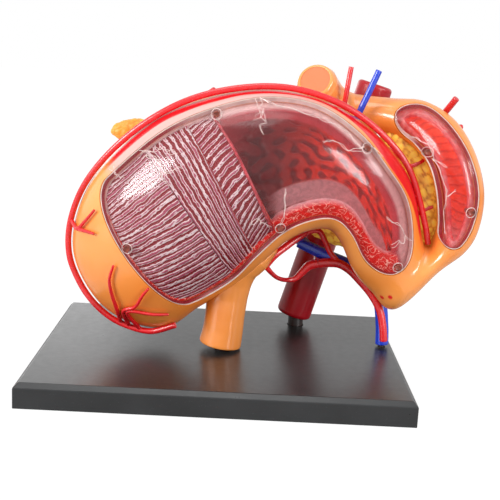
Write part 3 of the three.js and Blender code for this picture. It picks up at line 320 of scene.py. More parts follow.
DUODENUM_LINES = (
    ((6.73, 44), (6.5, 51), (6.22, 50), (5.84, 58), (5.49, 51), (5.32, 42), (5.06, 55), (4.89, 64)),
    ((5.32, 42), (4.92, 45), (4.43, 44), (4.12, 50), (3.73, 44), (3.32, 35), (2.6, 38), (2.2, 46)),
    ((3.82, 47), (4.14, 69)),
)

# Dots on the bulb, as stations and angles in degrees
BULB_DOTS = ((11.29, 147.0), (11.43, 130.0))

# Support pegs under the model: x, y and radius. Pins along the covers: x and z.
PEGS = {
    "oesophagus_peg": (0.6, -3.0, 3.0),
    "aorta_peg": (28.8, 32.0, 3.0),
    "portal_vein_peg": (60.4, 8.0, 1.1),
}
STOMACH_PINS = ((-32.8, 48.2), (-4.6, 94.4), (18.6, 57.4), (46.4, 85.4), (61, 43.6))
DUODENUM_PINS = ((69, 84), (84.6, 64.4))

# Lift of the raised lines off a cover, and radius of the ring round each pin
LINE_LIFT = 0.02
PIN_RING = 1.75


def linear(code):
    """Linear colour of a six-digit screen colour, by the screen's transfer curve."""
    shares = np.array([int(code[k:k + 2], 16) for k in (0, 2, 4)]) / 255.0
    return tuple(np.where(shares <= 0.04045, shares / 12.92, ((shares + 0.055) / 1.055) ** 2.4))


def colour_property(label, text, code):
    """Colour property with a screen colour as its default."""
    return FloatVectorProperty(
        name=label, description=text, default=linear(code), subtype="COLOR", size=3, min=0.0, max=1.0,
    )


def number_property(label, text, default, **kinds):
    """Number property with its kinds, such as its unit or its least value."""
    return FloatProperty(name=label, description=text, default=default, **kinds)


def angle_property(label, text, degrees):
    """Angle property with its default given in degrees."""
    return number_property(label, text, math.radians(degrees), subtype="ANGLE", precision=3)


def share_property(label, text, share):
    """Share property from 0 to 1."""
    return number_property(label, text, share, min=0.0, max=1.0, subtype="FACTOR")


def length_property(label, text, millimetres):
    """Length property with its default given in millimetres."""
    return number_property(label, text, millimetres * MM, unit="LENGTH", precision=5)


def count_property(label, text, count):
    """Whole-number property, at least 2."""
    return IntProperty(name=label, description=text, default=count, min=2)


class StandSettings(bpy.types.PropertyGroup):
    """Sizes and colours of the board and the pegs."""

    edge_round: length_property("Edge rounding", "Radius on the board's edges", 0.35)
    board: colour_property("Board", "Colour of the board", "1B1C1D")
    speck: colour_property("Speck", "Colour of the faint specks in the board", "3A3B3D")
    peg: colour_property("Pegs", "Colour of the pegs", "2A1713")


class WallSettings(bpy.types.PropertyGroup):
    """Colours of the orange organ walls."""

    light: colour_property("Light wall", "Colour of the wall where it is palest", "F8A65A")
    deep: colour_property("Deep wall", "Colour of the wall where it is richest", "EC842E")
    lumen: colour_property("Lumen", "Colour inside the cut ends", "FF7A4C")
    band: colour_property("Band", "Colour painted between the long artery and the cover", "E01C24")
    border: colour_property("Border", "Colour painted between the band and the cover", "DCAEA6")
    band_reach: share_property("Band reach", "Share of the way to the cover that the band is painted", 0.5)


class LiningSettings(bpy.types.PropertyGroup):
    """Sizes and colours of the folded linings."""

    fold_height: length_property("Fold height", "Height of the stomach's folds", 1.7)
    fold_pitch: length_property("Fold pitch", "Distance between the stomach's folds", 4.4)
    ring_height: length_property("Ring height", "Height of the duodenum's ring folds", 0.7)
    ring_pitch: length_property("Ring pitch", "Distance between the ring folds", 3.0)
    # The body's dark colour is partly the lining's paint and partly painted shade.
    body: colour_property("Body", "Colour of the folds in the stomach's body", "6A060A")
    antrum: colour_property("Antrum", "Colour of the folds near the pylorus", "FF3414")
    smooth: colour_property("Smooth wall", "Colour of the smooth wall above the folds", "B0363F")
    ledge: colour_property("Ledge", "Colour of the smooth ledge below the folds", "E2A0A4")
    upper_shelf: colour_property("Upper shelf", "Colour of the shelf along the greater side", "E6BDBA")
    lower_shelf: colour_property("Lower shelf", "Colour of the shelf along the lesser side", "E42018")
    squiggle: colour_property("Squiggle", "Colour of the fine lines on the lower shelf", "FFC4B4")
    edge: colour_property("Edge", "Colour of the line along the shelf's inner edge", "DC2E34")
    # Painted glow: the lining's own colour given out as emission, to brighten it.
    painted_and_backdrop_glow: share_property("Glow", "Light that the thin lining lets through", 0.3)
    duodenum: colour_property("Duodenum", "Colour of the duodenum's lining", "FC4614")


class MuscleSettings(bpy.types.PropertyGroup):
    """Sizes and colours of the three muscle layers."""

    ridge: length_property("Ridge height", "Height of the muscle fibres", 0.42)
    longitudinal: count_property("Longitudinal fibres", "Fibres across the outer layer", 30)
    circular: count_property("Circular fibres", "Fibres across the middle layer", 7)
    oblique: count_property("Oblique fibres", "Fibres across the inner layer", 21)
    valley: colour_property("Valley", "Colour between the fibres", "8C0A1C")
    flank: colour_property("Flank", "Colour on the tops of the fibres", "B4506A")
    # The pale lines along the fibres are painted highlights where the glossy fibres catch light.
    crest: colour_property("Crest", "Colour of the pale lines along the fibres", "FBE6EA")
    rim: colour_property("Rim", "Colour of the raised rim of the inner layer", "DB4350")


class GlandSettings(bpy.types.PropertyGroup):
    """Sizes and colours of the pancreas."""

    lobule: length_property("Lobule size", "Width of one lobule", 2.6)
    lobule_height: length_property("Lobule height", "Height of one lobule", 0.75)
    crest: colour_property("Crest", "Colour on the lobules", "FFCC4E")
    valley: colour_property("Valley", "Colour between the lobules", "C87420")
    tail: colour_property("Tail", "Colour of the gland's tail", "F79A3C")
    # Painted glow: the gland's own colour given out as emission, to brighten it.
    painted_and_backdrop_glow: share_property("Glow", "Light that the gland gives back", 0.22)


class VesselSettings(bpy.types.PropertyGroup):
    """Colours of the vessels."""

    artery: colour_property("Artery", "Colour of the arteries", "E0161F")
    aorta: colour_property("Aorta", "Colour of the aorta", "B4061A")
    vein: colour_property("Vein", "Colour of the veins", "143CCC")


class CoverSettings(bpy.types.PropertyGroup):
    """Sizes and colours of the clear covers and their pins."""

    line_radius: length_property("Line radius", "Radius of the raised lines on the covers", 0.11)
    edge_width: length_property("Edge width", "Width of the pale edge of a cover", 0.5)
    clear: colour_property("Clear", "Tint of the clear covers", "6E3436")
    # The cream edge is a painted highlight where the clear plastic gathers light.
    edge: colour_property("Edge", "Colour of a cover's edge", "FFF3E6")
    line: colour_property("Line", "Colour of the raised lines", "FFE6E0")
    side: colour_property("Side", "Colour of the covers' edges seen from inside", "F2CFC9")
    wine: colour_property("Wine side", "The same where the lining's red shows through", "A81C28")
    pin: colour_property("Pin", "Colour of the pins", "8A3A28")


class StageSettings(bpy.types.PropertyGroup):
    """Camera and light."""

    camera_turn: angle_property("Camera turn", "Camera's turn about the upright axis", -0.42)
    camera_rise: angle_property("Camera rise", "Camera's angle above the horizon", 12.131)
    camera_roll: angle_property("Camera roll", "Camera's roll about its own axis", 2.911)
    distance: length_property("Distance", "Distance from the camera to its target", 344.82)
    lens: number_property("Lens", "Focal length in millimetres", 68.65, min=1.0, unit="CAMERA")
    room: number_property("Room light", "Strength of the even room light", 0.38, min=0.0)
    floor: colour_property("Floor", "Colour of the floor", "CFCFCF")


SETTINGS = {
    "stomach_stand": StandSettings,
    "stomach_wall": WallSettings,
    "stomach_lining": LiningSettings,
    "stomach_muscle": MuscleSettings,
    "stomach_gland": GlandSettings,
    "stomach_vessel": VesselSettings,
    "stomach_cover": CoverSettings,
    "stomach_stage": StageSettings,
}


def between(low, high, share):
    """Value a share of the way from low to high."""
    return low + (high - low) * share


def smooth_step(low, high, value):
    """Zero below low, one above high and a smooth cubic between them."""
    share = np.clip((value - low) / (high - low), 0.0, 1.0)
    return share * share * (3.0 - 2.0 * share)


def half_circle(place):
    """Height of a half circle of radius 1 over a place from -1 to 1."""
    return np.sqrt(np.clip(1.0 - place * place, 0.0, 1.0))


def hashed(cells, seed):
    """Even random share from 0 to 1 for each whole-numbered cell, from a mix of its coordinates."""
    mix = cells.astype(np.int64) * np.array(HASH_FACTORS)
    number = (mix[..., 0] ^ mix[..., 1] ^ mix[..., 2]) + seed * HASH_STRIDE
    number = (number ^ (number >> 13)) * HASH_MIXER
    number = number ^ (number >> 16)
    return (number & HASH_MASK) / float(HASH_MASK)


def soft_noise(points, size, seed=0):
    """Smooth noise from -1 to 1: random values on a lattice of the given size, blended by smooth
    cubic shares between a cell's eight corners."""
    place = points / size
    cell = np.floor(place)
    share = smooth_step(0.0, 1.0, place - cell)
    total = np.zeros(points.shape[:-1])
    for corner in np.ndindex(2, 2, 2):
        weight = np.prod(np.where(np.array(corner) == 1, share, 1.0 - share), axis=-1)
        total += weight * hashed(cell + np.array(corner), seed)
    return 2.0 * total - 1.0


def nearest_seed(points, size, seed=0):
    """Distances to the nearest and the second nearest of one random seed point per lattice cell,
    as shares of the cell's size."""
    place = points / size
    cell = np.floor(place)
    first = np.full(points.shape[:-1], np.inf)
    second = first.copy()
    for step in np.ndindex(3, 3, 3):
        there = cell + np.array(step) - 1.0
        jitter = np.stack([hashed(there, seed + axis) for axis in range(3)], axis=-1)
        distance = np.linalg.norm(there + jitter - place, axis=-1)
        second = np.minimum(second, np.maximum(first, distance))
        first = np.minimum(first, distance)
    return first, second


class Organ:
    """Tube of ellipses between two rails, smooth from station to station. It starts in a pole
    where no row is given before its first station."""

    def __init__(self, stations, cover=None, before=None, after=None):
        table = np.array(stations, float)
        self.pole = before is None
        if self.pole:
            before = table[1][[2, 3, 0, 1, 4, 5, 6, 7]]
            before[5] = -before[5]
        if after is None:
            after = 2.0 * table[-1] - table[-2]
        self.rows = np.vstack([before, table, after])
        self.length = len(table) - 1.0
        self.cover = cover

    def values(self, t):
        """Catmull-Rom blend of the four stations round t."""
        t = np.asarray(t, float)
        index = np.clip(np.floor(t).astype(int), 0, len(self.rows) - 4)
        u = (t - index)[..., None]
        a, b, c, d = (self.rows[index + k] for k in range(4))
        square = u * u
        curve = 2 * b + (c - a) * u + (2 * a - 5 * b + 4 * c - d) * square
        return 0.5 * (curve + (3 * b - a - 3 * c + d) * square * u)

    def point(self, t, phi):
        """Middle of the two rails, plus half their distance times the cosine of phi in x and z,
        and the middle's y minus the half depth times the sine of phi."""
        t, phi = np.broadcast_arrays(np.asarray(t, float), np.asarray(phi, float))
        row = self.values(t)
        cosine = np.cos(phi)
        x = (row[..., 0] + row[..., 2]) / 2 + (row[..., 0] - row[..., 2]) / 2 * cosine
        z = (row[..., 1] + row[..., 3]) / 2 + (row[..., 1] - row[..., 3]) / 2 * cosine
        y = row[..., 4] - row[..., 5] * np.sin(phi)
        return np.stack([x, y, z], axis=-1)

    def around(self, t, phi):
        """Slope of the surface with phi."""
        return (self.point(t, phi + SLOPE_STEP) - self.point(t, phi - SLOPE_STEP)) / (2 * SLOPE_STEP)

    def onward(self, t, phi):
        """Slope of the surface with t."""
        return (self.point(t + SLOPE_STEP, phi) - self.point(t - SLOPE_STEP, phi)) / (2 * SLOPE_STEP)

    def normal(self, t, phi):
        """Outward unit normal: the cross product of the two slopes."""
        t, phi = np.broadcast_arrays(np.asarray(t, float), np.asarray(phi, float))
        station = np.maximum(t, POLE_REACH) if self.pole else t
        across = np.cross(self.around(station, phi), self.onward(station, phi))
        return across / np.linalg.norm(across, axis=-1, keepdims=True)

    def offset(self, t, phi, distance):
        """Surface point moved along its normal, outwards where the distance is positive."""
        return self.point(t, phi) + self.normal(t, phi) * np.asarray(distance, float)[..., None]

    def rims(self, t, margin):
        """Angles of the cover's greater and lesser rim at t, drawn in by a margin."""
        row = self.values(t)
        greater = np.radians(row[..., 6])
        lesser = np.radians(row[..., 7])
        greater = greater + margin / np.linalg.norm(self.around(t, greater), axis=-1)
        return greater, lesser - margin / np.linalg.norm(self.around(t, lesser), axis=-1)

    def span(self, margin):
        """First and last station of the cover at its middle, drawn in by a margin, and the
        lengths of its two noses in stations."""
        start, start_nose, end, end_nose = self.cover
        first, last = (np.linalg.norm(self.onward(t, math.pi / 2)) for t in (start, end))
        return start + margin / first, end - margin / last, start_nose, end_nose

    def cover_place(self, along, side, margin, edge_from=None, edge_to=None):
        """Station and angle inside the cover's outline. Side runs from 0 at the greater rim to 1
        at the lesser one. The noses fall short by 1 minus the half circle over the side."""
        start, end, start_nose, end_nose = self.span(margin)
        nose = 1.0 - half_circle(1.0 - 2.0 * side)
        low = between(*edge_from, side) if edge_from else start + start_nose * nose
        high = between(*edge_to, side) if edge_to else end - end_nose * nose
        t = between(low, high, along)
        return t, between(*self.rims(t, margin), side)

    def opening(self, t, margin, window=None):
        """Two angles of the opening under the cover at t, alike where it is shut. The share that
        the noses take from each side is half of 1 minus the half circle's inverse."""
        start, end, start_nose, end_nose = self.span(margin)

        def inset(share):
            return (1.0 - half_circle(1.0 - np.clip(share, 0.0, 1.0))) / 2.0

        at_end = inset((end - t) / end_nose)
        if window:
            far = np.clip((t - window[0]) / (window[1] - window[0]), 0.0, 1.0 - at_end)
            near = np.minimum(at_end, far)
        else:
            near = np.maximum(inset((t - start) / start_nose), at_end)
            far = 1.0 - near
        rims = self.rims(t, margin)
        return between(*rims, near), between(*rims, far)

    def shell_rows(self, first, body, last, steps):
        """Stations of a shell's rows: even ones before, along and after the cover, and closer
        ones round its two noses, as the half circle asks."""
        start, end, start_nose, end_nose = self.span(-SEAT_GAP)
        arc = 1.0 - np.sin(np.linspace(math.pi / 2, 0.0, steps))
        lead = np.linspace(POLE_ROW if self.pole else 0.0, start, first, endpoint=False)
        middle = np.linspace(start + start_nose, end - end_nose, body)[1:-1]
        tail = np.linspace(end, self.length, last)[1:]
        return np.concatenate([lead, start + start_nose * arc, middle, end - end_nose * arc[::-1], tail])

    def kept_in_wall(self, points, depth):
        """Moves points that lie deeper than a depth under the rear surface, or in front of it,
        back to that depth. Each section is an ellipse over the line between the two rails: the
        share u along that line comes from the section whose line passes through x and z."""
        row = self.values(np.linspace(0.0, self.length, WALL_SECTIONS))
        middle = (row[:, [0, 1]] + row[:, [2, 3]]) / 2
        half = (row[:, [0, 1]] - row[:, [2, 3]]) / 2
        moved = points.copy()
        flat = moved.reshape(-1, 3)
        x = flat[:, None, 0] - middle[:, 0]
        z = flat[:, None, 2] - middle[:, 1]
        across = x * half[:, 1] - z * half[:, 0]
        share = x * half[:, 0] + z * half[:, 1]
        share /= np.maximum((half ** 2).sum(axis=1), 1e-9)
        crossed = (across[:, 1:] * across[:, :-1] <= 0.0) & (np.abs(share[:, 1:]) < 1.0)
        section = np.argmax(crossed, axis=1) + 1
        arch = half_circle(np.take_along_axis(share, section[:, None], axis=1)[:, 0])
        rear = row[section, 4] + (row[section, 5] - depth) * arch
        front = row[section, 4] - row[section, 5] * arch
        inside = crossed.any(axis=1) & (flat[:, 1] < rear) & (flat[:, 1] > front)
        flat[:, 1] = np.where(inside, rear, flat[:, 1])
        return moved

    def front_place(self, x, z):
        """Station and angle of the front point over a given x and z: the nearest one of a grid,
        then of ever finer grids round it."""
        centre = np.array([self.length / 2, math.pi / 2])
        reach = centre.copy()
        for _ in range(SEARCH_ROUNDS):
            t = centre[0] + np.linspace(-1, 1, SEARCH_STEPS)[:, None] * reach[0]
            phi = centre[1] + np.linspace(-1, 1, SEARCH_STEPS)[None, :] * reach[1]
            t = np.clip(t, 0.0, self.length)
            found = self.point(t, phi)
            miss = np.hypot(found[..., 0] - x, found[..., 2] - z)
            row, column = np.unravel_index(np.argmin(miss), miss.shape)
            centre = np.array([t[row, 0], phi[0, column]])
            reach = reach * SEARCH_SHRINK
        return centre

    def route(self, places, lift):
        """Points of a route given as stations and angles in degrees, lifted off the surface."""
        table = np.array(places, float)
        return self.offset(table[:, 0], np.radians(table[:, 1]), lift)

    def front_route(self, places, lift):
        """Points of a route given as x and z, lifted off the front surface."""
        table = np.array([self.front_place(x, z) for x, z in places])
        return self.offset(table[:, 0], table[:, 1], lift)

    def capped(self, points, depth):
        """Grid of rows with one more row at each end, drawn together in one point: the pole at a
        depth where the organ starts in one, and otherwise the middle of the outermost row."""
        first = self.offset(0.0, 0.0, -depth) if self.pole else points[0].mean(axis=0)
        ends = [np.broadcast_to(end, (1, points.shape[1], 3)) for end in (first, points[-1].mean(axis=0))]
        return np.concatenate([ends[0], points, ends[1]])


STOMACH = Organ(STOMACH_STATIONS, STOMACH_COVER, after=DUODENUM_STATIONS[1])
DUODENUM = Organ(DUODENUM_STATIONS, DUODENUM_COVER, before=STOMACH_STATIONS[-2])
PANCREAS = Organ(PANCREAS_STATIONS)

# Routes on the organs' surfaces
ON_STOMACH = [(STOMACH.route(branch, 1.2), (0.75, 0.45)) for branch in FUNDUS_BRANCHES]
ON_GLAND = [(PANCREAS.front_route(route, 1.1), (0.85, 0.68)) for route in PANCREATIC_ROUTES]

# Vessels: node, slot, then the route and the radii of each tube
VESSELS = (
    ("aorta", "aorta", (AORTA_ROUTE, (6.8, 6.8))),
    ("portal_vein", "vein", (PORTAL_ROUTE, (2.1, 2.45, 2.45)), (SPLENIC_VEIN_ROUTE, (2.1, 2.1))),
    (
        "hepatic_artery", "artery", (GASTRIC_LOOP, GASTRIC_LOOP_RADII), (COELIAC_TRUNK, (1.8, 1.8)),
        (HEPATIC_ROUTE, HEPATIC_RADII),
    ),
    ("left_gastric_artery", "artery", (GASTRIC_ARC, GASTRIC_ARC_RADII)),
    ("splenic_artery", "artery", (SPLENIC_ARTERY_ROUTE, (1.2, 1.2))),
    ("short_gastric_artery", "artery", (STOMACH.route(SHORT_GASTRIC_ROUTE, 1.65), (1.2, 1.2))),
    ("superior_mesenteric_artery", "artery", (MESENTERIC_ARTERY_ROUTE, (0.9, 0.9))),
    ("superior_mesenteric_vein", "vein", (MESENTERIC_VEIN_ROUTE, (1.15, 1.15))),
    ("colic_artery", "artery", (COLIC_ROUTE, (1.2, 1.2)), (COLIC_BRANCH, (0.96, 0.96))),
    ("gastroepiploic_artery", "artery", (STOMACH.route(EPIPLOIC_ROUTE, 1.55), (1.1, 1.1)), *ON_STOMACH),
    ("pancreatic_artery_upper", "artery", *ON_GLAND[:2]),
    ("pancreatic_artery_lower", "artery", ON_GLAND[2]),
)

# Covers: organ, raised lines, pins, rows, columns and the station from which the border is pale
COVERS = {
    "stomach": (STOMACH, STOMACH_LINES, STOMACH_PINS, 120, 72, 4.0),
    "duodenum": (DUODENUM, DUODENUM_LINES, DUODENUM_PINS, 80, 44, 6.0),
}


class Skin:
    """Points, faces and point values of one piece, gathered grid by grid in millimetres."""

    def __init__(self):
        self.points = []
        self.faces = []
        self.kinds = []
        self.values = {}
        self.count = 0

    def add(self, points, **values):
        """Adds a grid of points with their values, and returns the grid of their numbers."""
        flat = np.asarray(points, float).reshape(-1, 3)
        numbers = np.arange(self.count, self.count + len(flat)).reshape(points.shape[:-1])
        for name, value in values.items():
            self.values.setdefault(name, []).append((self.count, np.asarray(value, float)))
        self.points.append(flat)
        self.count += len(flat)
        return numbers

    def strip(self, one, two, kind=0, keep=slice(None)):
        """Faces between two lines of point numbers, or two stacks of lines, where keep is true."""
        corners = [one[..., :-1], one[..., 1:], two[..., 1:], two[..., :-1]]
        faces = np.stack(corners, axis=-1).reshape(-1, 4)[keep]
        self.faces.append(faces)
        self.kinds.append(np.full(len(faces), kind, dtype=np.int32))

    def quads(self, numbers, kind=0):
        """Faces over a grid of point numbers."""
        self.strip(numbers[:-1], numbers[1:], kind)


def mesh_of(name, skin, materials, sharp=38.0):
    """Mesh object of a skin: doubles merged, faces turned outwards, smooth up to the sharp angle."""
    mesh = bpy.data.meshes.new(name)
    mesh.from_pydata(np.concatenate(skin.points) * MM, [], np.concatenate(skin.faces))
    mesh.polygons.foreach_set("material_index", np.concatenate(skin.kinds))
    for label, parts in skin.values.items():
        kind, field, width = ("FLOAT_COLOR", "color", 4) if label == "Tint" else ("FLOAT", "value", 1)
        table = np.zeros((skin.count, width), dtype=np.float32)
        for start, value in parts:
            rows = value.reshape(-1, width)
            table[start:start + len(rows)] = rows
        mesh.attributes.new(label, kind, "POINT").data.foreach_set(field, table.ravel())
    work = bmesh.new()
    work.from_mesh(mesh)
    bmesh.ops.remove_doubles(work, verts=work.verts, dist=MERGE_DISTANCE * MM)
    bmesh.ops.recalc_face_normals(work, faces=work.faces)
    work.to_mesh(mesh)
    work.free()
    mesh.polygons.foreach_set("use_smooth", np.ones(len(mesh.polygons), dtype=bool))
    mesh.set_sharp_from_angle(angle=math.radians(sharp))
    for material in materials:
        mesh.materials.append(material)
    mesh.update()
    piece = bpy.data.objects.new(name, mesh)
    bpy.context.scene.collection.objects.link(piece)
    return piece


def cut_away(piece, tool):
    """Cuts a closed skin out of a piece and takes the tool away again."""
    cut = piece.modifiers.new("cut", "BOOLEAN")
    cut.object = tool
    cut.operation = "DIFFERENCE"
    cut.solver = "EXACT"
    shaped = piece.evaluated_get(bpy.context.evaluated_depsgraph_get())
    mesh = bpy.data.meshes.new_from_object(shaped)
    piece.modifiers.clear()
    old = piece.data
    mesh.name = old.name + "_cut"
    piece.data = mesh
    bpy.data.meshes.remove(old)
    bpy.data.meshes.remove(tool.data)


def seat_of(organ, distance, rows, columns):
    """Closed skin of a whole organ at a distance from its surface, as a cutting tool."""
    t = np.linspace(POLE_ROW if organ.pole else 0.0, organ.length, rows)[:, None]
    points = organ.offset(t, np.linspace(0.0, TURN, columns), distance)
    skin = Skin()
    skin.quads(skin.add(organ.capped(points, -distance)))
    return mesh_of("seat", skin, [])


def place_piece(piece, body, slot, *nodes):
    """Hangs a piece on its body and hides the nodes that it stands for. Its slot is not used."""
    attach(piece, body)
    if nodes:
        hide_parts(*nodes)


def make_piece(name, skin, materials, body, slot, *nodes):
    """Makes a skin's mesh object and places it."""
    place_piece(mesh_of(name, skin, materials), body, slot, *nodes)


def add_node(tree, kind, inputs=None, **settings):
    """New node with its settings, whose inputs are linked to sockets or set to numbers or colours."""
    made = tree.nodes.new("ShaderNode" + kind)
    for name, value in settings.items():
        setattr(made, name, value)
    for key, value in (inputs or {}).items():
        if isinstance(value, bpy.types.NodeSocket):
            tree.links.new(value, made.inputs[key])
        elif isinstance(value, float):
            made.inputs[key].default_value = value
        else:
            made.inputs[key].default_value = (*value, 1.0)
    return made


class Recipe:
    """A material with one Principled shader and the nodes that feed it."""

    def __init__(self, name, colour, roughness, specular=0.5, alpha=1.0):
        self.material = bpy.data.materials.new(name)
        self.material.use_nodes = True
        self.material.diffuse_color = (*colour, 1.0)
        self.tree = self.material.node_tree
        self.shader = self.tree.nodes["Principled BSDF"]
        self.set("Base Color", (*colour, 1.0))
        self.set("Roughness", roughness)
        self.set("Specular IOR Level", specular)
        self.set("Alpha", alpha)
        self.place = add_node(self.tree, "TexCoord").outputs["Object"]

    def set(self, name, value):
        """Sets an input of the shader."""
        self.shader.inputs[name].default_value = value

    def feed(self, name, socket):
        """Links a socket to an input of the shader."""
        self.tree.links.new(socket, self.shader.inputs[name])

    def noise(self, scale, detail, distortion=0.0):
        """Noise over the object's own coordinates, with scale in features to the metre."""
        inputs = {"Vector": self.place, "Scale": scale, "Detail": detail, "Distortion": distortion}
        return add_node(self.tree, "TexNoise", inputs).outputs["Fac"]

    def cells(self, scale):
        """Distance to the nearest of scattered points, with scale in cells to the metre."""
        inputs = {"Vector": self.place, "Scale": scale}
        return add_node(self.tree, "TexVoronoi", inputs).outputs["Distance"]

    def attribute(self, name, output="Fac"):
        """Value or colour that the mesh carries under a name."""
        return add_node(self.tree, "Attribute", attribute_name=name).outputs[output]

    def ramp(self, value, *stops):
        """Colours at given values, straight between them, where a number stands for a grey."""
        node = add_node(self.tree, "ValToRGB", {"Fac": value})
        band = node.color_ramp.elements
        while len(band) < len(stops):
            band.new(0.5)
        for element, (position, colour) in zip(band, stops):
            element.position = position
            shade = (colour,) * 3 if isinstance(colour, float) else colour
            element.color = (*shade, 1.0)
        return node.outputs["Color"]

    def mottle(self, scale, detail, *stops, distortion=0.0):
        """Colours that follow a noise."""
        return self.ramp(self.noise(scale, detail, distortion), *stops)

    def mix(self, factor, one, two, blend="MIX"):
        """Blend of two colours, each a socket or a plain colour, by a socket or a number."""
        inputs = {0: factor, 6: one, 7: two}
        return add_node(self.tree, "Mix", inputs, data_type="RGBA", blend_type=blend).outputs[2]

    def times(self, one, two):
        """Product of two colours."""
        return self.mix(1.0, one, two, "MULTIPLY")

    def gloss(self, scale, detail, low, high):
        """Roughness that runs from low to high with a noise."""
        self.feed("Roughness", self.mottle(scale, detail, (0.0, low), (1.0, high)))

    def bump(self, scale, detail, strength, distance, distortion=0.0):
        """Fine relief that follows a noise, with its depth in millimetres."""
        height = self.noise(scale, detail, distortion)
        inputs = {"Height": height, "Strength": strength, "Distance": distance * MM}
        self.feed("Normal", add_node(self.tree, "Bump", inputs).outputs["Normal"])

    def finish(self, colour, painted_and_backdrop_glow=0.0):
        """Feeds the shader's colour, and a painted glow of that colour where given, and returns the
        material.
        """
        self.feed("Base Color", colour)
        if painted_and_backdrop_glow:
            self.feed("Emission Color", colour)
            self.set("Emission Strength", painted_and_backdrop_glow)
        return self.material


def toned(name, colour, roughness, specular, noise, *stops, alpha=1.0):
    """Recipe of one colour, times the stops' shares as a noise of a scale and a detail rises."""
    recipe = Recipe(name, colour, roughness, specular, alpha)
    shades = [(place, tuple(share * level for level in colour)) for place, share in stops]
    recipe.finish(recipe.mottle(*noise, *shades))
    return recipe


def wall_material(settings):
    """Orange moulded plastic, slightly mottled and glossy, with its painted bands."""
    recipe = Recipe("organ_wall_orange", settings.light, 0.28, 0.8)
    recipe.gloss(160.0, 3.0, 0.14, 0.26)
    recipe.bump(420.0, 4.0, 0.12, 0.12)
    plain = recipe.mottle(22.0, 2.0, (0.3, settings.deep), (0.72, settings.light), distortion=0.4)
    bordered = recipe.mix(recipe.attribute("Border"), plain, settings.border)
    return recipe.finish(recipe.mix(recipe.attribute("Paint"), bordered, settings.band))


def lumen_material(settings):
    """Paler orange inside the cut ends."""
    recipe = Recipe("lumen_pale_orange", settings.lumen, 0.4)
    recipe.bump(600.0, 4.0, 0.15, 0.1)
    return recipe.finish(recipe.mottle(90.0, 3.0, (0.1, settings.light), (0.4, settings.lumen)))


def lining_material(name, settings):
    """Painted folds: their own tint, darker in the valleys as painted shade, with fine mottling, a wet
    gloss, pale curls along the shelf and a painted glow of the lining's colour."""
    recipe = Recipe(name, settings.antrum, 0.3, 0.22)
    recipe.gloss(260.0, 3.0, 0.2, 0.42)
    recipe.bump(900.0, 5.0, 0.35, 0.25, 0.5)
    height = recipe.attribute("Height")
    # Painted shade: the folds' colour is darkened in their valleys according to their height.
    shade = recipe.ramp(height, (0.1, PAINTED_VALLEY_SHADE), (0.5, PAINTED_MIDDLE_SHADE), (0.85, 1.0))
    tint = recipe.times(recipe.attribute("Tint", "Color"), shade)
    painted = recipe.times(tint, recipe.mottle(500.0, 5.0, (0.3, 0.72), (0.65, 1.0), distortion=0.8))
    curls = recipe.mottle(560.0, 0.0, (0.45, 0.0), (0.5, 1.0), (0.55, 0.0), distortion=0.6)
    shown = recipe.times(curls, recipe.attribute("Curl"))
    # The lining glows in its own colour as painted light.
    return recipe.finish(recipe.mix(shown, painted, settings.squiggle), settings.painted_and_backdrop_glow)


def muscle_material(name, settings):
    """Muscle fibres: dark red in the valleys, a painted highlight as a pale line on each flank, and dusky
    pink tops.
    """
    recipe = Recipe(name, settings.flank, 0.5, 0.3)
    recipe.gloss(500.0, 3.0, 0.42, 0.6)
    recipe.bump(1400.0, 4.0, 0.3, 0.15, 0.6)
    # The pale crest colour is a painted highlight along each fibre's flank.
    pale = settings.crest
    height = recipe.attribute("Height")
    fibre = recipe.ramp(height, (0.45, settings.valley), (0.56, pale), (0.7, pale), (0.88, settings.flank))
    streak = recipe.mottle(1100.0, 4.0, (0.32, 0.82), (0.6, 1.0), distortion=0.8)
    return recipe.finish(recipe.times(fibre, streak))


def rim_material(settings):
    """Red paint on the raised rim of the inner muscle layer."""
    recipe = Recipe("muscle_rim_red", settings.rim, 0.3)
    return recipe.finish(recipe.mottle(500.0, 3.0, (0.3, settings.valley), (0.6, settings.rim)))


def gland_material(settings):
    """Ochre lobules with brown between them, a plain tail and a painted glow of their colour."""
    recipe = Recipe("pancreas_ochre", settings.crest, 0.38)
    recipe.bump(1100.0, 4.0, 0.3, 0.2)
    base = recipe.ramp(recipe.attribute("Height"), (0.1, settings.valley), (0.55, settings.crest))
    lobules = recipe.times(base, recipe.mottle(420.0, 4.0, (0.3, 0.78), (0.6, 1.0), distortion=0.4))
    # The gland glows in its own colour as painted light.
    return recipe.finish(recipe.mix(recipe.attribute("Tail"), lobules, settings.tail), settings.painted_and_backdrop_glow)


def vessel_material(name, colour, roughness=0.24, specular=0.8):
    """Smooth glossy vessel with a faint change of tone."""
    recipe = toned(name, colour, roughness, specular, (60.0, 2.0), (0.25, 0.72), (0.6, 1.0))
    recipe.gloss(200.0, 2.0, roughness - 0.06, roughness + 0.1)
    recipe.bump(500.0, 3.0, 0.1, 0.1)
    return recipe.material


def clear_material(name, settings, opacity):
    """Clear glossy plastic with a faint dark pink tint."""
    recipe = toned(name, settings.clear, 0.13, 0.75, (60.0, 2.0), (0.3, 1.0), (0.7, 1.5), alpha=opacity)
    recipe.set("IOR", 1.8)
    return recipe.material


def side_material(settings):
    """Pale pink inner side of a cover's edge, seen through its front."""
    recipe = Recipe("cover_side_pink", settings.side, 0.3)
    tint = recipe.mix(recipe.attribute("Pale"), settings.wine, settings.side)
    return recipe.finish(recipe.times(tint, recipe.mottle(260.0, 3.0, (0.3, 0.7), (0.65, 1.0))))


def edge_highlight_material(settings):
    """Cream edge of a cover: a painted highlight where the clear plastic gathers light."""
    stops = (0.3, 0.8), (0.6, 1.0)
    return toned("cover_edge_painted_highlight", settings.edge, 0.25, 0.5, (240.0, 3.0), *stops).material


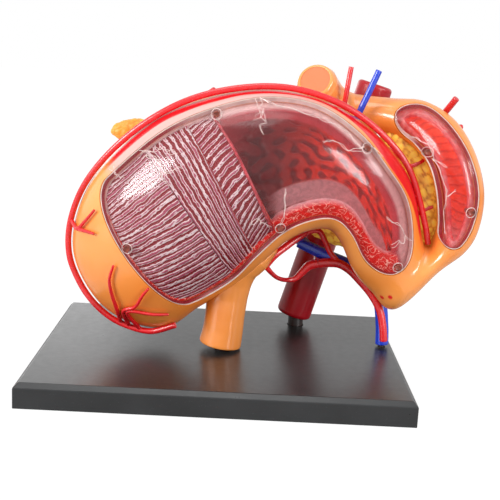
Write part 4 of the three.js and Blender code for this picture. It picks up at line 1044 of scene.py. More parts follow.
def line_material(settings):
    """Raised lines on a cover, paler than the cover."""
    stops = (0.3, 0.75), (0.6, 1.0)
    return toned("cover_line_pink", settings.line, 0.2, 0.8, (300.0, 3.0), *stops, alpha=0.75).material


def pin_material(settings):
    """Brown-red pins."""
    recipe = toned("pin_brown", settings.pin, 0.32, 0.5, (700.0, 4.0), (0.35, 0.45), (0.6, 1.0))
    recipe.bump(1500.0, 3.0, 0.3, 0.15)
    return recipe.material


def board_material(settings):
    """Near-black satin board with faint specks."""
    recipe = Recipe("stand_black", settings.board, 0.34)
    recipe.gloss(350.0, 4.0, 0.24, 0.38)
    recipe.bump(1600.0, 4.0, 0.18, 0.1)
    speck = recipe.ramp(recipe.cells(900.0), (0.05, 1.0), (0.14, 0.0))
    cloud = recipe.mottle(45.0, 4.0, (0.35, 0.0), (0.75, 0.35))
    clouded = recipe.mix(cloud, settings.board, settings.speck)
    return recipe.finish(recipe.mix(speck, clouded, settings.speck))


def peg_material(settings):
    """Dark moulded pegs."""
    return toned("peg_dark", settings.peg, 0.35, 0.5, (300.0, 3.0), (0.3, 0.5), (0.65, 1.0)).material


def lathe(profile, centre, sides, upright=True):
    """Closed skin of a profile of radius and height, turned about an upright axis, or about one
    from the front to the back."""
    profile = np.array(profile, float)
    angle = np.linspace(0.0, TURN, sides + 1)
    radius = profile[:, :1]
    height = np.broadcast_to(profile[:, 1:], (len(profile), len(angle)))
    turned = np.stack([radius * np.cos(angle), radius * np.sin(angle), height], axis=-1)
    if not upright:
        turned = turned[..., [0, 2, 1]] * (1.0, 1.0, -1.0)
    skin = Skin()
    skin.quads(skin.add(turned + centre))
    return skin


def centreline(route, shares):
    """Centripetal Catmull-Rom curve through points: places and unit directions at the shares."""
    points = np.array(route, float)
    chain = np.vstack([2 * points[0] - points[1], points, 2 * points[-1] - points[-2]])

    def place(share):
        position = np.clip(share, 0.0, 1.0) * (len(points) - 1)
        index = np.minimum(np.floor(position).astype(int), len(points) - 2)
        u = (position - index)[:, None]
        a, b, c, d = (chain[index + k] for k in range(4))
        first, second, third = (
            np.sqrt(np.linalg.norm(end - start, axis=-1, keepdims=True))
            for start, end in ((a, b), (b, c), (c, d))
        )
        leave = ((b - a) / first - (c - a) / (first + second) + (c - b) / second) * second
        reach = ((c - b) / second - (d - b) / (second + third) + (d - c) / third) * second
        square = u * u
        rest = (-3 * b + 3 * c - 2 * leave - reach) * square
        return b + leave * u + (rest + (2 * b - 2 * c + leave + reach) * square * u)

    ahead = np.minimum(shares + LINE_STEP, 1.0)
    direction = place(ahead) - place(np.maximum(shares - LINE_STEP, 0.0))
    return place(shares), direction / np.linalg.norm(direction, axis=-1, keepdims=True)


def tube_skin(route, radii, sides=28, spacing=0.7, corner=0.25, skin=None, waviness=0.02, lumen=None):
    """Closed tube: circles about a centreline, their radius straight between the given ones, with
    rounded end corners of the given share of the radius and flat ends. A lumen, given as radius
    and depth, is sunk into the last end."""
    skin = skin or Skin()
    points = np.array(route, float)
    length = np.linalg.norm(np.diff(points, axis=0), axis=1).sum()
    radii = np.array(radii, float)
    count = max(int(length / spacing), 12)
    bend = np.radians(np.array([0, 30, 60, 90]))
    lip = corner * radii.mean() / length
    lead = lip * (1 - np.cos(bend))
    hole, depth = lumen or (0.0, 0.0)
    last = 1 - depth / length
    even = np.linspace(lip, 1 - lip, count)[1:-1]
    shares = np.concatenate([[0.0], lead, even, 1 - lead[::-1], [1.0, last, last]])
    ends = 1 - corner * (1 - np.sin(bend))
    rim = hole / radii[-1]
    scale = np.concatenate([[0.0], ends, np.ones_like(even), ends[::-1], [rim, rim, 0.0]])
    middle, direction = centreline(route, shares)
    reference = np.linalg.svd(direction)[2][-1]
    side = reference - direction * (direction @ reference)[:, None]
    side /= np.linalg.norm(side, axis=-1, keepdims=True)
    other = np.cross(direction, side)
    radius = np.interp(shares, np.linspace(0, 1, len(radii)), radii) * scale
    radius = radius * (1 + waviness * soft_noise(middle, 3.5 * radii.mean() + 1.0, 7))
    angle = np.linspace(0.0, TURN, sides + 1)[None, :, None]
    ring = side[:, None] * np.cos(angle) + other[:, None] * np.sin(angle)
    numbers = skin.add(middle[:, None] + ring * radius[:, None, None])
    skin.quads(numbers[:-2])
    if lumen:
        skin.quads(numbers[-3:], 1)
    return skin


def winding(places, seed):
    """Stations and angles of a route with more points, each moved a little by soft noise."""
    table = np.array(places, float)
    steps = np.linspace(0.0, len(table) - 1.0, 7 * len(table))
    finer = [np.interp(steps, np.arange(len(table)), column) for column in table.T]
    spots = np.stack([steps, np.full_like(steps, 3.7 * seed), np.zeros_like(steps)], axis=-1)
    moved = [0.07 * soft_noise(spots, 0.6, seed), 3.0 * soft_noise(spots, 0.5, seed + 50)]
    return np.stack(finer, axis=-1) + np.stack(moved, axis=-1)


def round_back(opening, columns):
    """Angles of a row's columns, round the back from the opening's lesser edge to its greater one."""
    greater, lesser = opening
    return between(lesser[:, None], (greater + TURN)[:, None], np.linspace(0.0, 1.0, columns))


def padded(values):
    """Values of a grid's points, with its first and its last row doubled."""
    wide = (1, 1), (0, 0), (0, 0)
    return {name: np.pad(value, wide[:value.ndim], mode="edge") for name, value in values.items()}


def walled_skin(organ, opening, *sheets):
    """Skin of two sheets, the outer and the inner one, each given by its grid of points, its
    depth and its values, with their ends closed and strips along the edges of the opening."""
    skin = Skin()
    outside, inside = (
        skin.add(organ.capped(points, depth), **padded(values)) for points, depth, values in sheets
    )
    skin.quads(outside)
    skin.quads(inside[:, ::-1])
    is_open = np.pad(opening[1] - opening[0] > 1e-6, 1)
    keep = is_open[:-1] | is_open[1:]
    skin.strip(outside[:, 0], inside[:, 0], keep=keep)
    skin.strip(inside[:, -1], outside[:, -1], keep=keep)
    return skin


def painted_band(t, phi, reach):
    """Shares of red paint and of pale paint on the stomach's wall: a red band from the long
    artery over a share of the way to the cover, narrower at its start and wide at its end, with
    a pale border over the rest of the way, and two small round red dots near the pylorus."""
    route = np.array(EPIPLOIC_ROUTE[:BAND_PLACES])[::-1]
    artery = np.radians(np.interp(t, route[:, 0], route[:, 1]))
    greater = STOMACH.rims(t, 0.0)[0]
    turned = (phi + math.pi) % TURN - math.pi
    share = (turned - artery) / (greater - artery)
    limit = between(reach, BAND_FULL, smooth_step(*BAND_WIDENING, t))
    along = smooth_step(*BAND_START, t) * (1.0 - smooth_step(*BAND_END, t))
    band = along * smooth_step(-0.1, 0.0, share) * (1.0 - smooth_step(limit, limit + 0.05, share))
    border = along * smooth_step(limit - 0.1, limit, share) * (share < 1.0)
    border = border * (1.0 - smooth_step(*BORDER_END, t))
    place = STOMACH.point(t, phi)
    for station, angle in BULB_DOTS:
        far = np.linalg.norm(place - STOMACH.point(station, math.radians(angle)), axis=-1)
        band = np.maximum(band, 1.0 - smooth_step(*DOT_EDGE, far))
    return {"Paint": band, "Border": border}


def rear_shell(organ, columns, rows, reach=None):
    """Shell of an organ round the back: the outer skin lies on the organ's surface and the inner
    one a wall under it. The reach is that of the painted band, where there is one."""
    opening = organ.opening(rows, -SEAT_GAP)
    phi = round_back(opening, columns)
    t = np.broadcast_to(rows[:, None], phi.shape)
    inner_t = np.clip(rows, 0.0 if organ.pole else SHELL_END, organ.length - SHELL_END)[:, None]
    inner_phi = round_back(opening, max(columns // 3, 24))
    inner = organ.offset(inner_t, inner_phi, -SHELL_WALL)
    paint = painted_band(t, phi, reach) if reach else {}
    return walled_skin(organ, opening, (organ.point(t, phi), 0.0, paint), (inner, SHELL_WALL, {}))


def fold_field(t, phi, pitch):
    """Winding folds from 0 in the valleys to 1 on the crests: seeded noise over the unrolled
    wall, kept only near one wavelength and longer along the wall than across it, then read
    between its four nearest samples and sharpened by a hyperbolic tangent."""
    samples = FOLD_SAMPLES
    length = len(STOMACH_STATIONS) * FOLD_STATION
    noise = np.random.default_rng(FOLD_SEED).standard_normal((samples, samples))
    wave_t = np.fft.fftfreq(samples, length / samples)[:, None]
    wave_phi = np.fft.fftfreq(samples, TURN * FOLD_RADIUS / samples)[None, :]
    ring = np.hypot(wave_t * FOLD_STRETCH, wave_phi) * pitch
    kept = np.fft.ifft2(np.fft.fft2(noise) * np.exp(-((ring - 1.0) / FOLD_SPREAD) ** 2)).real
    kept /= kept.std()
    row = t * FOLD_STATION / length * samples
    column = phi / TURN * samples
    r0, c0 = np.floor(row).astype(int), np.floor(column).astype(int)
    down, right = row - r0, column - c0
    value = np.zeros(phi.shape)
    for r, c in np.ndindex(2, 2):
        weight = (down if r else 1.0 - down) * (right if c else 1.0 - right)
        value += weight * kept[(r0 + r) % samples, (c0 + c) % samples]
    return 0.5 + 0.5 * np.tanh(FOLD_CONTRAST * value + FOLD_FILL)


def mixed(*pairs):
    """Colour at each point: the first pair's colour, then each next one laid over it by its share."""
    shape = np.broadcast_shapes(*[np.shape(share) for _, share in pairs])
    total = np.broadcast_to(np.array(pairs[0][0], float), (*shape, 3)).copy()
    for colour, share in pairs[1:]:
        weight = np.broadcast_to(share, shape)[..., None]
        total = total * (1 - weight) + np.array(colour, float) * weight
    return np.concatenate([total, np.ones((*shape, 1))], axis=-1)


def lining_angles(organ, rows, shelf, window, back, border, columns):
    """Edges of a lining's seat and of its own opening, and the angles of its outer and its inner
    columns. The outer ones are the shelf on the lesser side, the back, and the shelf on the
    greater side, each in even steps."""
    seat = organ.opening(rows, -SEAT_GAP)
    own = [np.clip(angle, *seat) for angle in organ.opening(rows, shelf, window)]
    steps = np.linspace(0.0, 1.0, border + 1)
    low = between(own[1][:, None], seat[1][:, None], steps[:-1])
    high = between(seat[0][:, None], own[0][:, None], steps[1:]) + TURN
    outer = np.concatenate([low, round_back(seat, back), high], axis=1)
    return seat, own, outer, round_back(own, columns)


def under_muscle(t, phi):
    """Share from 0 to 1 of a place on the front that lies under the muscle layers."""
    greater, lesser = STOMACH.rims(t, 0.0)
    side = ((phi - greater + math.pi) % TURN - math.pi) / (lesser - greater)
    start = STOMACH.cover_place(0.0, np.clip(side, 0.0, 1.0), 0.0)[0]
    before = smooth_step(-0.02, 0.02, between(*OBLIQUE_EDGE, side) + 0.03 - t)
    return before * smooth_step(0.0, 0.02, t - start) * ((side > 0.0) & (side < 1.0))


def stomach_lining_skin(settings):
    """Lining of the stomach: a shelf under the cover's border, deeper under the muscle layers,
    and an inner wall with winding folds, bounded by the edge of its own opening."""
    rows = np.concatenate([STOMACH.shell_rows(24, 222, 10, 16), np.linspace(*OBLIQUE_EDGE, 24)])
    rows = np.unique(rows)
    rows = rows[np.concatenate([[True], np.diff(rows) > 1e-3])]
    seat, own, phi, inner_phi = lining_angles(STOMACH, rows, LINING_SHELF, OBLIQUE_EDGE, 40, 14, 230)
    deep = LINING_TOP + LINING_WALL
    outer_t, inner_t = (
        np.clip(rows, 0.0, STOMACH.length - depth / END_STATION)[:, None] for depth in (LINING_TOP, deep)
    )
    top_depth = between(LINING_TOP, UNDER_MUSCLE, under_muscle(outer_t, phi))
    outer = STOMACH.offset(outer_t, phi, -top_depth)
    share = np.linspace(0.0, 1.0, inner_phi.shape[1])
    smooth = smooth_step(*SMOOTH_WALL, share + 0.05 * (inner_t > 8.5))
    wall = STOMACH.offset(inner_t, inner_phi, -deep)
    from_edge = np.hypot(wall[..., 0] - wall[:, :1, 0], wall[..., 2] - wall[:, :1, 2])
    ledge = (1.0 - smooth_step(*LEDGE_WIDTH, from_edge)) * (share < 0.5)
    ledge = ledge * smooth_step(*LEDGE_START, inner_t)
    fold = fold_field(np.broadcast_to(inner_t, inner_phi.shape), inner_phi, settings.fold_pitch / MM)
    amount = (1.0 - smooth) * (1.0 - ledge)
    depth = deep + settings.fold_height / MM * amount * (0.3 - fold)
    inner = STOMACH.offset(inner_t, inner_phi, -np.maximum(depth, UNDER_MUSCLE + MUSCLE_FLOOR))
    antrum = smooth_step(*ANTRUM_START, inner_t + 0.6 * (1.0 - share))
    # Tint: the dark body colour, partly paint and partly painted shade, brightens towards the antrum; over
    # it come the smooth wall, the ledge and the edge's line.
    tint = mixed(
        (settings.body, 1.0), (settings.antrum, antrum), (settings.smooth, smooth * (1.0 - 0.15 * antrum)),
        (settings.ledge, ledge), (settings.edge, 0.4 - 0.4 * smooth_step(*EDGE_LINE, 1.0 - share)),
    )
    upper = np.linspace(0.0, 1.0, phi.shape[1]) > 0.5
    inward = (phi - seat[0][:, None] - TURN) / np.maximum(own[0] - seat[0], 1e-6)[:, None]
    fade = np.maximum(smooth_step(*SHELF_FADE, inward), 0.5 * smooth_step(*SHELF_PALE, outer_t))
    shelf = mixed(
        (settings.lower_shelf, np.ones_like(phi)), (settings.upper_shelf, upper),
        (settings.smooth, upper * fade),
    )
    curl = np.broadcast_to(0.85 * (1.0 - upper), phi.shape)
    # Height of the folds, which the material turns into painted shade in their valleys.
    raised = np.where(amount > 0, 1.0 - amount + amount * fold, 1.0)
    return walled_skin(
        STOMACH, own,
        (outer, LINING_TOP, {"Height": np.full(phi.shape, FLAT), "Tint": shelf, "Curl": curl}),
        (inner, deep, {"Height": raised, "Tint": tint}),
    )


def duodenum_lining_skin(settings):
    """Lining of the duodenum: a shelf and an inner wall with ring folds, even waves along the
    organ whose phase drifts with smooth noise."""
    rows = DUODENUM.shell_rows(22, 190, 22, 16)
    _, own, phi, inner_phi = lining_angles(DUODENUM, rows, DUODENUM_SHELF, None, 30, 6, 110)
    deep = DUODENUM_LINING_TOP + DUODENUM_LINING_WALL
    outer_t, inner_t = (np.clip(rows, end, DUODENUM.length - end)[:, None] for end in DUODENUM_LINING_ENDS)
    outer = DUODENUM.offset(outer_t, phi, -DUODENUM_LINING_TOP)
    share = np.linspace(0.0, 1.0, inner_phi.shape[1])
    base = DUODENUM.offset(inner_t, inner_phi, -deep)
    drift = sum(amount * soft_noise(base, size, seed) for amount, size, seed in RING_DRIFTS)
    steps = np.linalg.norm(np.diff(base.mean(axis=1), axis=0), axis=-1)
    wave = np.concatenate([[0.0], np.cumsum(steps)])[:, None] / (settings.ring_pitch / MM) + drift
    fold = np.abs(np.cos(math.pi * wave)) ** RING_POWER
    fade = smooth_step(0.0, RING_FADE, share) * smooth_step(0.0, RING_FADE, 1.0 - share)
    inner = DUODENUM.offset(inner_t, inner_phi, -deep + settings.ring_height / MM * fade * (fold - 0.4))
    pale = soft_noise(base, 5.0, 9) * 0.5 + 0.5
    tint = mixed(
        (settings.duodenum, np.ones_like(fold)), (settings.ledge, 0.2 * pale * (1 - fade) + 0.04 * pale),
        (settings.ledge, 0.7 - 0.7 * smooth_step(2.0, 3.4, inner_t)),
        (settings.edge, 1.0 - smooth_step(0.0, 0.03, np.minimum(share, 1.0 - share))),
    )
    cloud = 0.35 + 0.3 * soft_noise(outer, 1.6, 2)
    shelf = mixed((settings.lower_shelf, np.ones_like(phi)), (settings.ledge, cloud))
    flat, curl = (np.full(phi.shape, level) for level in (FLAT, 0.25))
    # The ring folds' height goes out as Height, which the material turns into painted shade between the
    # rings.
    return walled_skin(
        DUODENUM, own, (outer, DUODENUM_LINING_TOP, {"Height": flat, "Tint": shelf, "Curl": curl}),
        (inner, deep, {"Height": 1.0 - 0.6 * fade * (1.0 - fold), "Tint": tint}),
    )


def fibre_height(layer, count, along, side):
    """Height of a muscle layer's fibres from 0 to 1: the phase grows by 1 from fibre to fibre and
    drifts with a slow and a fine noise, and the height is the size of its cosine raised to a
    power, uneven over long stretches and with a ragged grain."""
    reach, ways, slow, slow_size, fine, power, seed = layer
    onward, across = along * reach, side * PANEL_LENGTH
    none = np.zeros_like(onward)
    place = np.stack([onward, across, none], axis=-1)
    phase = count * (ways[0] * along + ways[1] * side) + slow * soft_noise(place, slow_size, seed)
    phase = phase + fine * soft_noise(place, 3.0, seed + 1)
    if ways[0] > ways[1]:
        onward, across = across, onward
    main = np.abs(np.cos(math.pi * phase)) ** power
    uneven = soft_noise(np.stack([onward / 8.0, across / 1.8, none], axis=-1), 1.0, seed + 10)
    ragged = soft_noise(np.stack([onward / 0.9, across / 0.5, none], axis=-1), 1.0, seed + 11)
    return np.clip(main * (0.92 + 0.3 * uneven) + 0.2 * ragged, 0.0, 1.0)


def muscle_plate(layer, count, rise, edge_from, edge_to):
    """Plate of a muscle layer between two edges: its front is raised by a number of fibres, its
    back is smooth, and strips close its four sides."""
    front_depth, rows, columns, *fibres = layer
    along, side = np.meshgrid(np.linspace(0.0, 1.0, rows), np.linspace(0.0, 1.0, columns), indexing="ij")
    t, phi = STOMACH.cover_place(along, side, SEAT_GAP, edge_from, edge_to)
    height = fibre_height(fibres, count, along, side)
    skin = Skin()
    above = skin.add(STOMACH.offset(t, phi, -front_depth - rise * (1.0 - height)), Height=height)
    below = skin.add(STOMACH.offset(t, phi, -MUSCLE_BACK), Height=np.zeros_like(t))
    skin.quads(above)
    skin.quads(below[:, ::-1])
    skin.strip(above[0], below[0])
    skin.strip(below[-1], above[-1])
    skin.strip(below[:, 0], above[:, 0])
    skin.strip(above[:, -1], below[:, -1])
    return skin


def cover_skin(organ, rows, columns, edge_width, pale_from):
    """Cover plate: a front and a back inside the border, and a border whose profile runs from
    the front over a rounded edge to the back. The border is pale on the greater side, from a
    station on."""
    along, side = (0.5 - 0.5 * np.cos(np.linspace(0.0, math.pi, steps)) for steps in (rows, columns))
    t, phi = organ.cover_place(*np.meshgrid(along, side, indexing="ij"), edge_width)
    skin = Skin()
    skin.quads(skin.add(organ.point(t, phi)))
    skin.quads(skin.add(organ.offset(t, phi, -COVER_WALL))[:, ::-1], 2)
    round_along = np.concatenate([np.zeros(columns), along, np.ones(columns), along[::-1]])
    round_side = np.concatenate([side, np.ones(rows), side[::-1], np.zeros(rows)])
    profile = (
        (edge_width, 0.0), (0.55 * edge_width, 0.0), (0.12, 0.03), (0.03, 0.12), (0.0, 0.3), (0.0, 0.55),
        (0.0, COVER_WALL), (edge_width, COVER_WALL),
    )
    lines = []
    for margin, depth in profile:
        t, phi = organ.cover_place(round_along, round_side, margin)
        pale = (1.0 - smooth_step(0.3, 0.6, round_side)) * smooth_step(pale_from, pale_from + 1.0, t)
        pale = pale * (1.0 - 0.45 * smooth_step(7.5, 9.5, t))
        lines.append(skin.add(organ.offset(t, phi, -depth), Pale=pale))
    # The rounded edge's faces, of kind 1, take the cream painted highlight.
    for one, two, kind in zip(lines, lines[1:], (0, 1, 1, 1, 1, 3, 2)):
        skin.strip(one, two, kind)
    return skin


def pin_profile(length):
    """Profile of a pin with a domed head ring and a hollow in its middle."""
    return (
        (0.0, 0.12), (0.55, 0.12), (0.7, 0.02), (0.95, 0.0), (1.08, 0.12), (1.1, 0.3), (1.1, length - 0.4),
        (0.7, length), (0.0, length),
    )


class STOMACH_OT_stand(bpy.types.Operator):
    """Build the board and its three pegs."""

    bl_idname = "stomach.stand"
    bl_label = "Stand"

    def execute(self, context):
        settings = context.scene.stomach_stand
        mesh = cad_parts["display_stand"].data.copy()
        mesh.name = "display_stand_board"
        mesh.materials.clear()
        work = bmesh.new()
        work.from_mesh(mesh)
        bmesh.ops.remove_doubles(work, verts=work.verts, dist=0.01 * MM)
        bmesh.ops.dissolve_limit(work, angle_limit=math.radians(1.0), verts=work.verts, edges=work.edges)
        work.to_mesh(mesh)
        work.free()
        mesh.materials.append(board_material(settings))
        board = bpy.data.objects.new("display_stand_board", mesh)
        context.scene.collection.objects.link(board)
        bevel = board.modifiers.new("edges", "BEVEL")
        bevel.width = settings.edge_round
        bevel.segments = 3
        bevel.limit_method = "ANGLE"
        bevel.angle_limit = math.radians(30.0)
        place_piece(board, "stand", "stand", "display_stand")
        dark = peg_material(settings)
        for name, (x, y, radius) in PEGS.items():
            low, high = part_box(name)
            bottom = low[2] / MM
            tall = high[2] / MM - bottom
            profile = (
                (0.0, 0.0), (radius - 0.2, 0.0), (radius, 0.2), (radius, tall - 0.8),
                (radius - 0.16, tall - 0.3), (radius - 0.48, tall), (0.0, tall),
            )
            make_piece(name + "_turned", lathe(profile, (x, y, bottom), 56), [dark], "stand", "stand", name)
        return {"FINISHED"}


class STOMACH_OT_walls(bpy.types.Operator):
    """Build the orange walls: the two rear shells, the oesophagus and the jejunum's stub."""

    bl_idname = "stomach.walls"
    bl_label = "Organ walls"

    def execute(self, context):
        settings = context.scene.stomach_wall
        wall = wall_material(settings)
        finish = "organs", "organ_wall"
        skin = rear_shell(STOMACH, 220, STOMACH.shell_rows(52, 150, 26, 22), settings.band_reach)
        make_piece("stomach_wall", skin, [wall], *finish, "stomach_rear_shell")
        skin = rear_shell(DUODENUM, 110, DUODENUM.shell_rows(24, 110, 30, 18))
        make_piece("duodenum_wall", skin, [wall], *finish, "duodenum_rear_shell")
        wide = {"sides": 72, "spacing": 0.6, "waviness": 0.01}
        skin = tube_skin(OESOPHAGUS_ROUTE, OESOPHAGUS_RADII, corner=0.08, **wide)
        gullet = mesh_of("oesophagus_tube", skin, [wall])
        cut_away(gullet, seat_of(STOMACH, 0.05, 90, 73))
        place_piece(gullet, *finish, "oesophagus")
        skin = tube_skin(JEJUNUM_ROUTE, JEJUNUM_RADII, corner=0.14, lumen=JEJUNUM_LUMEN, **wide)
        make_piece("jejunum_end", skin, [wall, lumen_material(settings)], *finish, "jejunum_stub")
        return {"FINISHED"}


class STOMACH_OT_linings(bpy.types.Operator):
    """Build the folded linings of the stomach and the duodenum."""

    bl_idname = "stomach.linings"
    bl_label = "Linings"

    def execute(self, context):
        settings = context.scene.stomach_lining
        for name, skin_of in (("stomach", stomach_lining_skin), ("duodenum", duodenum_lining_skin)):
            material = lining_material("mucosa_" + name, settings)
            skin = skin_of(settings)
            make_piece(name + "_mucosa", skin, [material], "organs", "lining", name + "_lining")
        return {"FINISHED"}


class STOMACH_OT_muscles(bpy.types.Operator):
    """Build the three peeled muscle layers."""

    bl_idname = "stomach.muscles"
    bl_label = "Muscle layers"

    def execute(self, context):
        settings = context.scene.stomach_muscle
        edge_from = None
        for name, (edge_to, layer) in MUSCLES.items():
            count = getattr(settings, name)
            skin = muscle_plate(layer, count, settings.ridge / MM, edge_from, edge_to)
            material = muscle_material("muscle_" + name, settings)
            make_piece(name + "_fibres", skin, [material], "organs", "muscle", name + "_muscle")
            edge_from = tuple(t + MUSCLE_GAP for t in edge_to)
        rim_edge = tuple(t - 0.03 for t in OBLIQUE_EDGE)
        t, phi = STOMACH.cover_place(1.0, np.linspace(0.02, 0.98, 24), SEAT_GAP, None, rim_edge)
        route = STOMACH.offset(t, phi, -RIM_DEPTH)
        skin = tube_skin(route, (0.5, 0.5), sides=12, spacing=0.8, corner=0.5)
        make_piece("oblique_rim", skin, [rim_material(settings)], "organs", "muscle")
        return {"FINISHED"}


class STOMACH_OT_gland(bpy.types.Operator):
    """Build the lobed pancreas."""

    bl_idname = "stomach.gland"
    bl_label = "Pancreas"

    def execute(self, context):
        settings = context.scene.stomach_gland
        t = np.linspace(0.06, PANCREAS.length, 210)[:, None]
        phi = np.linspace(0.0, TURN, 150)
        first, second = nearest_seed(PANCREAS.point(t, phi), settings.lobule / MM, 3)
        dome = np.sqrt(np.clip(second - first, 0.0, 1.0))
        height = settings.lobule_height / MM
        swell = PANCREAS_SWELL * smooth_step(6.0, 8.0, t)
        points = PANCREAS.offset(t, phi, swell + height * (dome - 0.55) * smooth_step(0.0, 0.5, t))
        for organ in (STOMACH, DUODENUM):
            points = organ.kept_in_wall(points, 1.0)
        points[:, -1] = points[:, 0]
        tail = np.broadcast_to(1.0 - smooth_step(0.9, 1.5, t), dome.shape)
        skin = Skin()
        skin.quads(skin.add(PANCREAS.capped(points, 0.0), **padded({"Height": dome, "Tail": tail})))
        piece = mesh_of("pancreas_lobules", skin, [gland_material(settings)], 60.0)
        place_piece(piece, "organs", "pancreas", "pancreas")
        return {"FINISHED"}


class STOMACH_OT_vessels(bpy.types.Operator):
    """Build the aorta, the arteries and the veins."""

    bl_idname = "stomach.vessels"
    bl_label = "Vessels"

    def execute(self, context):
        settings = context.scene.stomach_vessel
        materials = {
            "artery": vessel_material("artery_red", settings.artery),
            "aorta": vessel_material("aorta_dark_red", settings.aorta, 0.3, 0.45),
            "vein": vessel_material("vein_blue", settings.vein),
        }
        for node, slot, *tubes in VESSELS:
            skin = Skin()
            for route, radii in tubes:
                sides = 64 if slot == "aorta" else 28
                tube_skin(route, radii, sides=sides, spacing=0.5, corner=0.2, skin=skin)
            make_piece(node + "_vessel", skin, [materials[slot]], "organs", slot, node)
        return {"FINISHED"}


class STOMACH_OT_covers(bpy.types.Operator):
    """Build the clear covers, their raised lines and their pins."""

    bl_idname = "stomach.covers"
    bl_label = "Covers"

    def execute(self, context):
        settings = context.scene.stomach_cover
        outside = clear_material("clear_cover_outside", settings, 0.22)
        inside = clear_material("clear_cover_inside", settings, 0.03)
        plate_materials = [outside, edge_highlight_material(settings), inside, side_material(settings)]
        line = line_material(settings)
        brown = pin_material(settings)
        thin = settings.line_radius / MM
        for name, (organ, lines, pins, rows, columns, pale_from) in COVERS.items():
            body = name + "_cover"
            skin = cover_skin(organ, rows, columns, settings.edge_width / MM, pale_from)
            make_piece(body + "_clear", skin, plate_materials, body, "clear_cover", name + "_front_cover")
            skin = Skin()
            for index, places in enumerate(lines):
                for strand in (0, 40):
                    route = organ.route(winding(places, index + strand), LINE_LIFT)
                    radii = (thin, 0.6 * thin)
                    tube_skin(route, radii, sides=8, spacing=0.4, corner=0.5, skin=skin)
            angles = np.linspace(0.0, TURN, 19)
            circle = PIN_RING * np.stack([np.cos(angles), np.sin(angles)], axis=-1)
            for pin in pins:
                ring = organ.front_route(pin + circle, LINE_LIFT)
                radii = (1.2 * thin, 1.2 * thin)
                tube_skin(ring, radii, sides=8, spacing=0.4, corner=0.1, skin=skin)
            make_piece(body + "_lines", skin, [line], body, "clear_cover")
            for index, (x, z) in enumerate(pins):
                node = f"{body}_pin_{index + 1}"
                low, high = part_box(node)
                profile = pin_profile((high[1] - low[1]) / MM)
                skin = lathe(profile, (x, low[1] / MM, z), 40, upright=False)
                make_piece(node + "_turned", skin, [brown], body, "pin", node)
        return {"FINISHED"}


def direction_of(turn, rise):
    """Unit vector from the model, turned about the upright axis and raised, both in radians."""
    return Vector((math.sin(turn) * math.cos(rise), -math.cos(turn) * math.cos(rise), math.sin(rise)))


def light_panel(scene, name, turn, rise, wide, high, radiance):
    """Soft rectangular lamp turned to the model. Its place and its sides are angles in degrees
    seen from the model, and its power is pi times its area times its radiance."""
    towards = direction_of(math.radians(turn), math.radians(rise))
    data = bpy.data.lights.new(name, "AREA")
    data.shape = "RECTANGLE"
    data.size = 2.0 * PANEL_DISTANCE * math.tan(math.radians(wide) / 2)
    data.size_y = 2.0 * PANEL_DISTANCE * math.tan(math.radians(high) / 2)
    data.energy = math.pi * data.size * data.size_y * radiance
    lamp = bpy.data.objects.new(name, data)
    lamp.location = Vector(LIT_POINT) + PANEL_DISTANCE * towards
    lamp.rotation_euler = (-towards).to_track_quat("-Z", "Y").to_euler()
    lamp.visible_camera = False
    scene.collection.objects.link(lamp)


def room_light(scene, settings):
    """Even white room, whose background, mirror image and see-through view are plain white."""
    world = bpy.data.worlds.new("room")
    world.use_nodes = True
    tree = world.node_tree
    path = add_node(tree, "LightPath")
    seen = path.outputs["Is Camera Ray"]
    for output in ("Is Glossy Ray", "Is Transmission Ray"):
        seen = add_node(tree, "Math", {0: seen, 1: path.outputs[output]}, operation="MAXIMUM").outputs[0]
    strength = add_node(tree, "MapRange", {"Value": seen, "To Min": settings.room, "To Max": 1.0})
    background = tree.nodes["Background"]
    background.inputs["Color"].default_value = (1.0, 1.0, 1.0, 1.0)
    tree.links.new(strength.outputs["Result"], background.inputs["Strength"])
    scene.world = world


def floor_piece(scene, settings):
    """Plain pale floor that the camera sees nearly white and that keeps a soft shadow."""
    low = -FLOOR_DROP
    corners = [(x * FLOOR_REACH, y * FLOOR_REACH, low) for x, y in ((-1, -1), (1, -1), (1, 1), (-1, 1))]
    mesh = bpy.data.meshes.new("floor")
    mesh.from_pydata(corners, [], [(0, 1, 2, 3)])
    recipe = Recipe("floor_pale", settings.floor, 0.7, 0.1)
    seen = add_node(recipe.tree, "LightPath").outputs["Is Camera Ray"]
    share = add_node(recipe.tree, "Math", {0: seen, 1: FLOOR_SHARE}, operation="MULTIPLY").outputs[0]
    painted_and_backdrop_glow = add_node(recipe.tree, "Emission", {"Strength": FLOOR_GLOW}).outputs[0]
    blend = add_node(recipe.tree, "MixShader", {0: share, 1: recipe.shader.outputs[0], 2: painted_and_backdrop_glow})
    recipe.tree.links.new(blend.outputs[0], recipe.tree.nodes["Material Output"].inputs["Surface"])
    mesh.materials.append(recipe.material)
    floor = bpy.data.objects.new("floor", mesh)
    scene.collection.objects.link(floor)


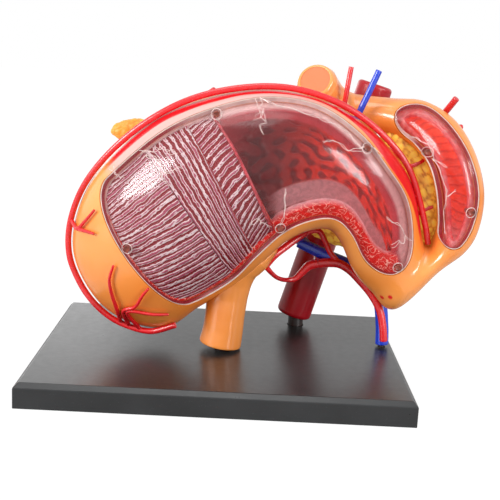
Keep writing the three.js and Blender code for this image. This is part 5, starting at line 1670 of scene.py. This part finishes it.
class STOMACH_OT_stage(bpy.types.Operator):
    """Build the floor, the lights and the camera."""

    bl_idname = "stomach.stage"
    bl_label = "Stage"

    def execute(self, context):
        scene = context.scene
        settings = scene.stomach_stage
        back = direction_of(settings.camera_turn, settings.camera_rise)
        right = (-back).cross(Vector((0, 0, 1))).normalized()
        up = right.cross(-back)
        level, tilt = math.cos(settings.camera_roll), math.sin(settings.camera_roll)
        turned = Matrix((level * right + tilt * up, -tilt * right + level * up, back)).transposed()
        data = bpy.data.cameras.new("camera")
        data.lens = settings.lens
        data.sensor_width = 36.0
        data.clip_start = 0.01
        camera = bpy.data.objects.new("camera", data)
        place = Vector(CAMERA_TARGET) * MM + back * settings.distance
        camera.matrix_world = Matrix.Translation(place) @ turned.to_4x4()
        scene.collection.objects.link(camera)
        scene.camera = camera
        room_light(scene, settings)
        floor_piece(scene, settings)
        for name, panel in PANELS.items():
            light_panel(scene, name, *panel)
        scene.view_settings.view_transform = "Standard"
        return {"FINISHED"}


OPERATORS = (
    STOMACH_OT_stage, STOMACH_OT_stand, STOMACH_OT_walls, STOMACH_OT_linings, STOMACH_OT_muscles,
    STOMACH_OT_gland, STOMACH_OT_vessels, STOMACH_OT_covers,
)


class STOMACH_PT_panel(bpy.types.Panel):
    """Lists the operators and their settings."""

    bl_label = "Stomach model"
    bl_idname = "STOMACH_PT_panel"
    bl_space_type = "VIEW_3D"
    bl_region_type = "UI"
    bl_category = "Anatomy"

    def draw(self, context):
        for operator in OPERATORS:
            self.layout.operator(operator.bl_idname)
        for name, group in SETTINGS.items():
            box = self.layout.box()
            for field in group.__annotations__:
                box.prop(getattr(context.scene, name), field)


def register():
    """Registers the settings, the operators and the panel."""
    for name, group in SETTINGS.items():
        bpy.utils.register_class(group)
        setattr(bpy.types.Scene, name, PointerProperty(type=group))
    for part in (*OPERATORS, STOMACH_PT_panel):
        bpy.utils.register_class(part)


def unregister():
    """Removes everything that register added."""
    for part in (STOMACH_PT_panel, *reversed(OPERATORS)):
        bpy.utils.unregister_class(part)
    for name, group in SETTINGS.items():
        delattr(bpy.types.Scene, name)
        bpy.utils.unregister_class(group)


def main():
    """Builds the whole scene."""
    register()
    bpy.ops.stomach.stage()
    bpy.ops.stomach.stand()
    bpy.ops.stomach.walls()
    bpy.ops.stomach.linings()
    bpy.ops.stomach.muscles()
    bpy.ops.stomach.gland()
    bpy.ops.stomach.vessels()
    bpy.ops.stomach.covers()
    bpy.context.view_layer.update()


if __name__ == "__main__":
    main()
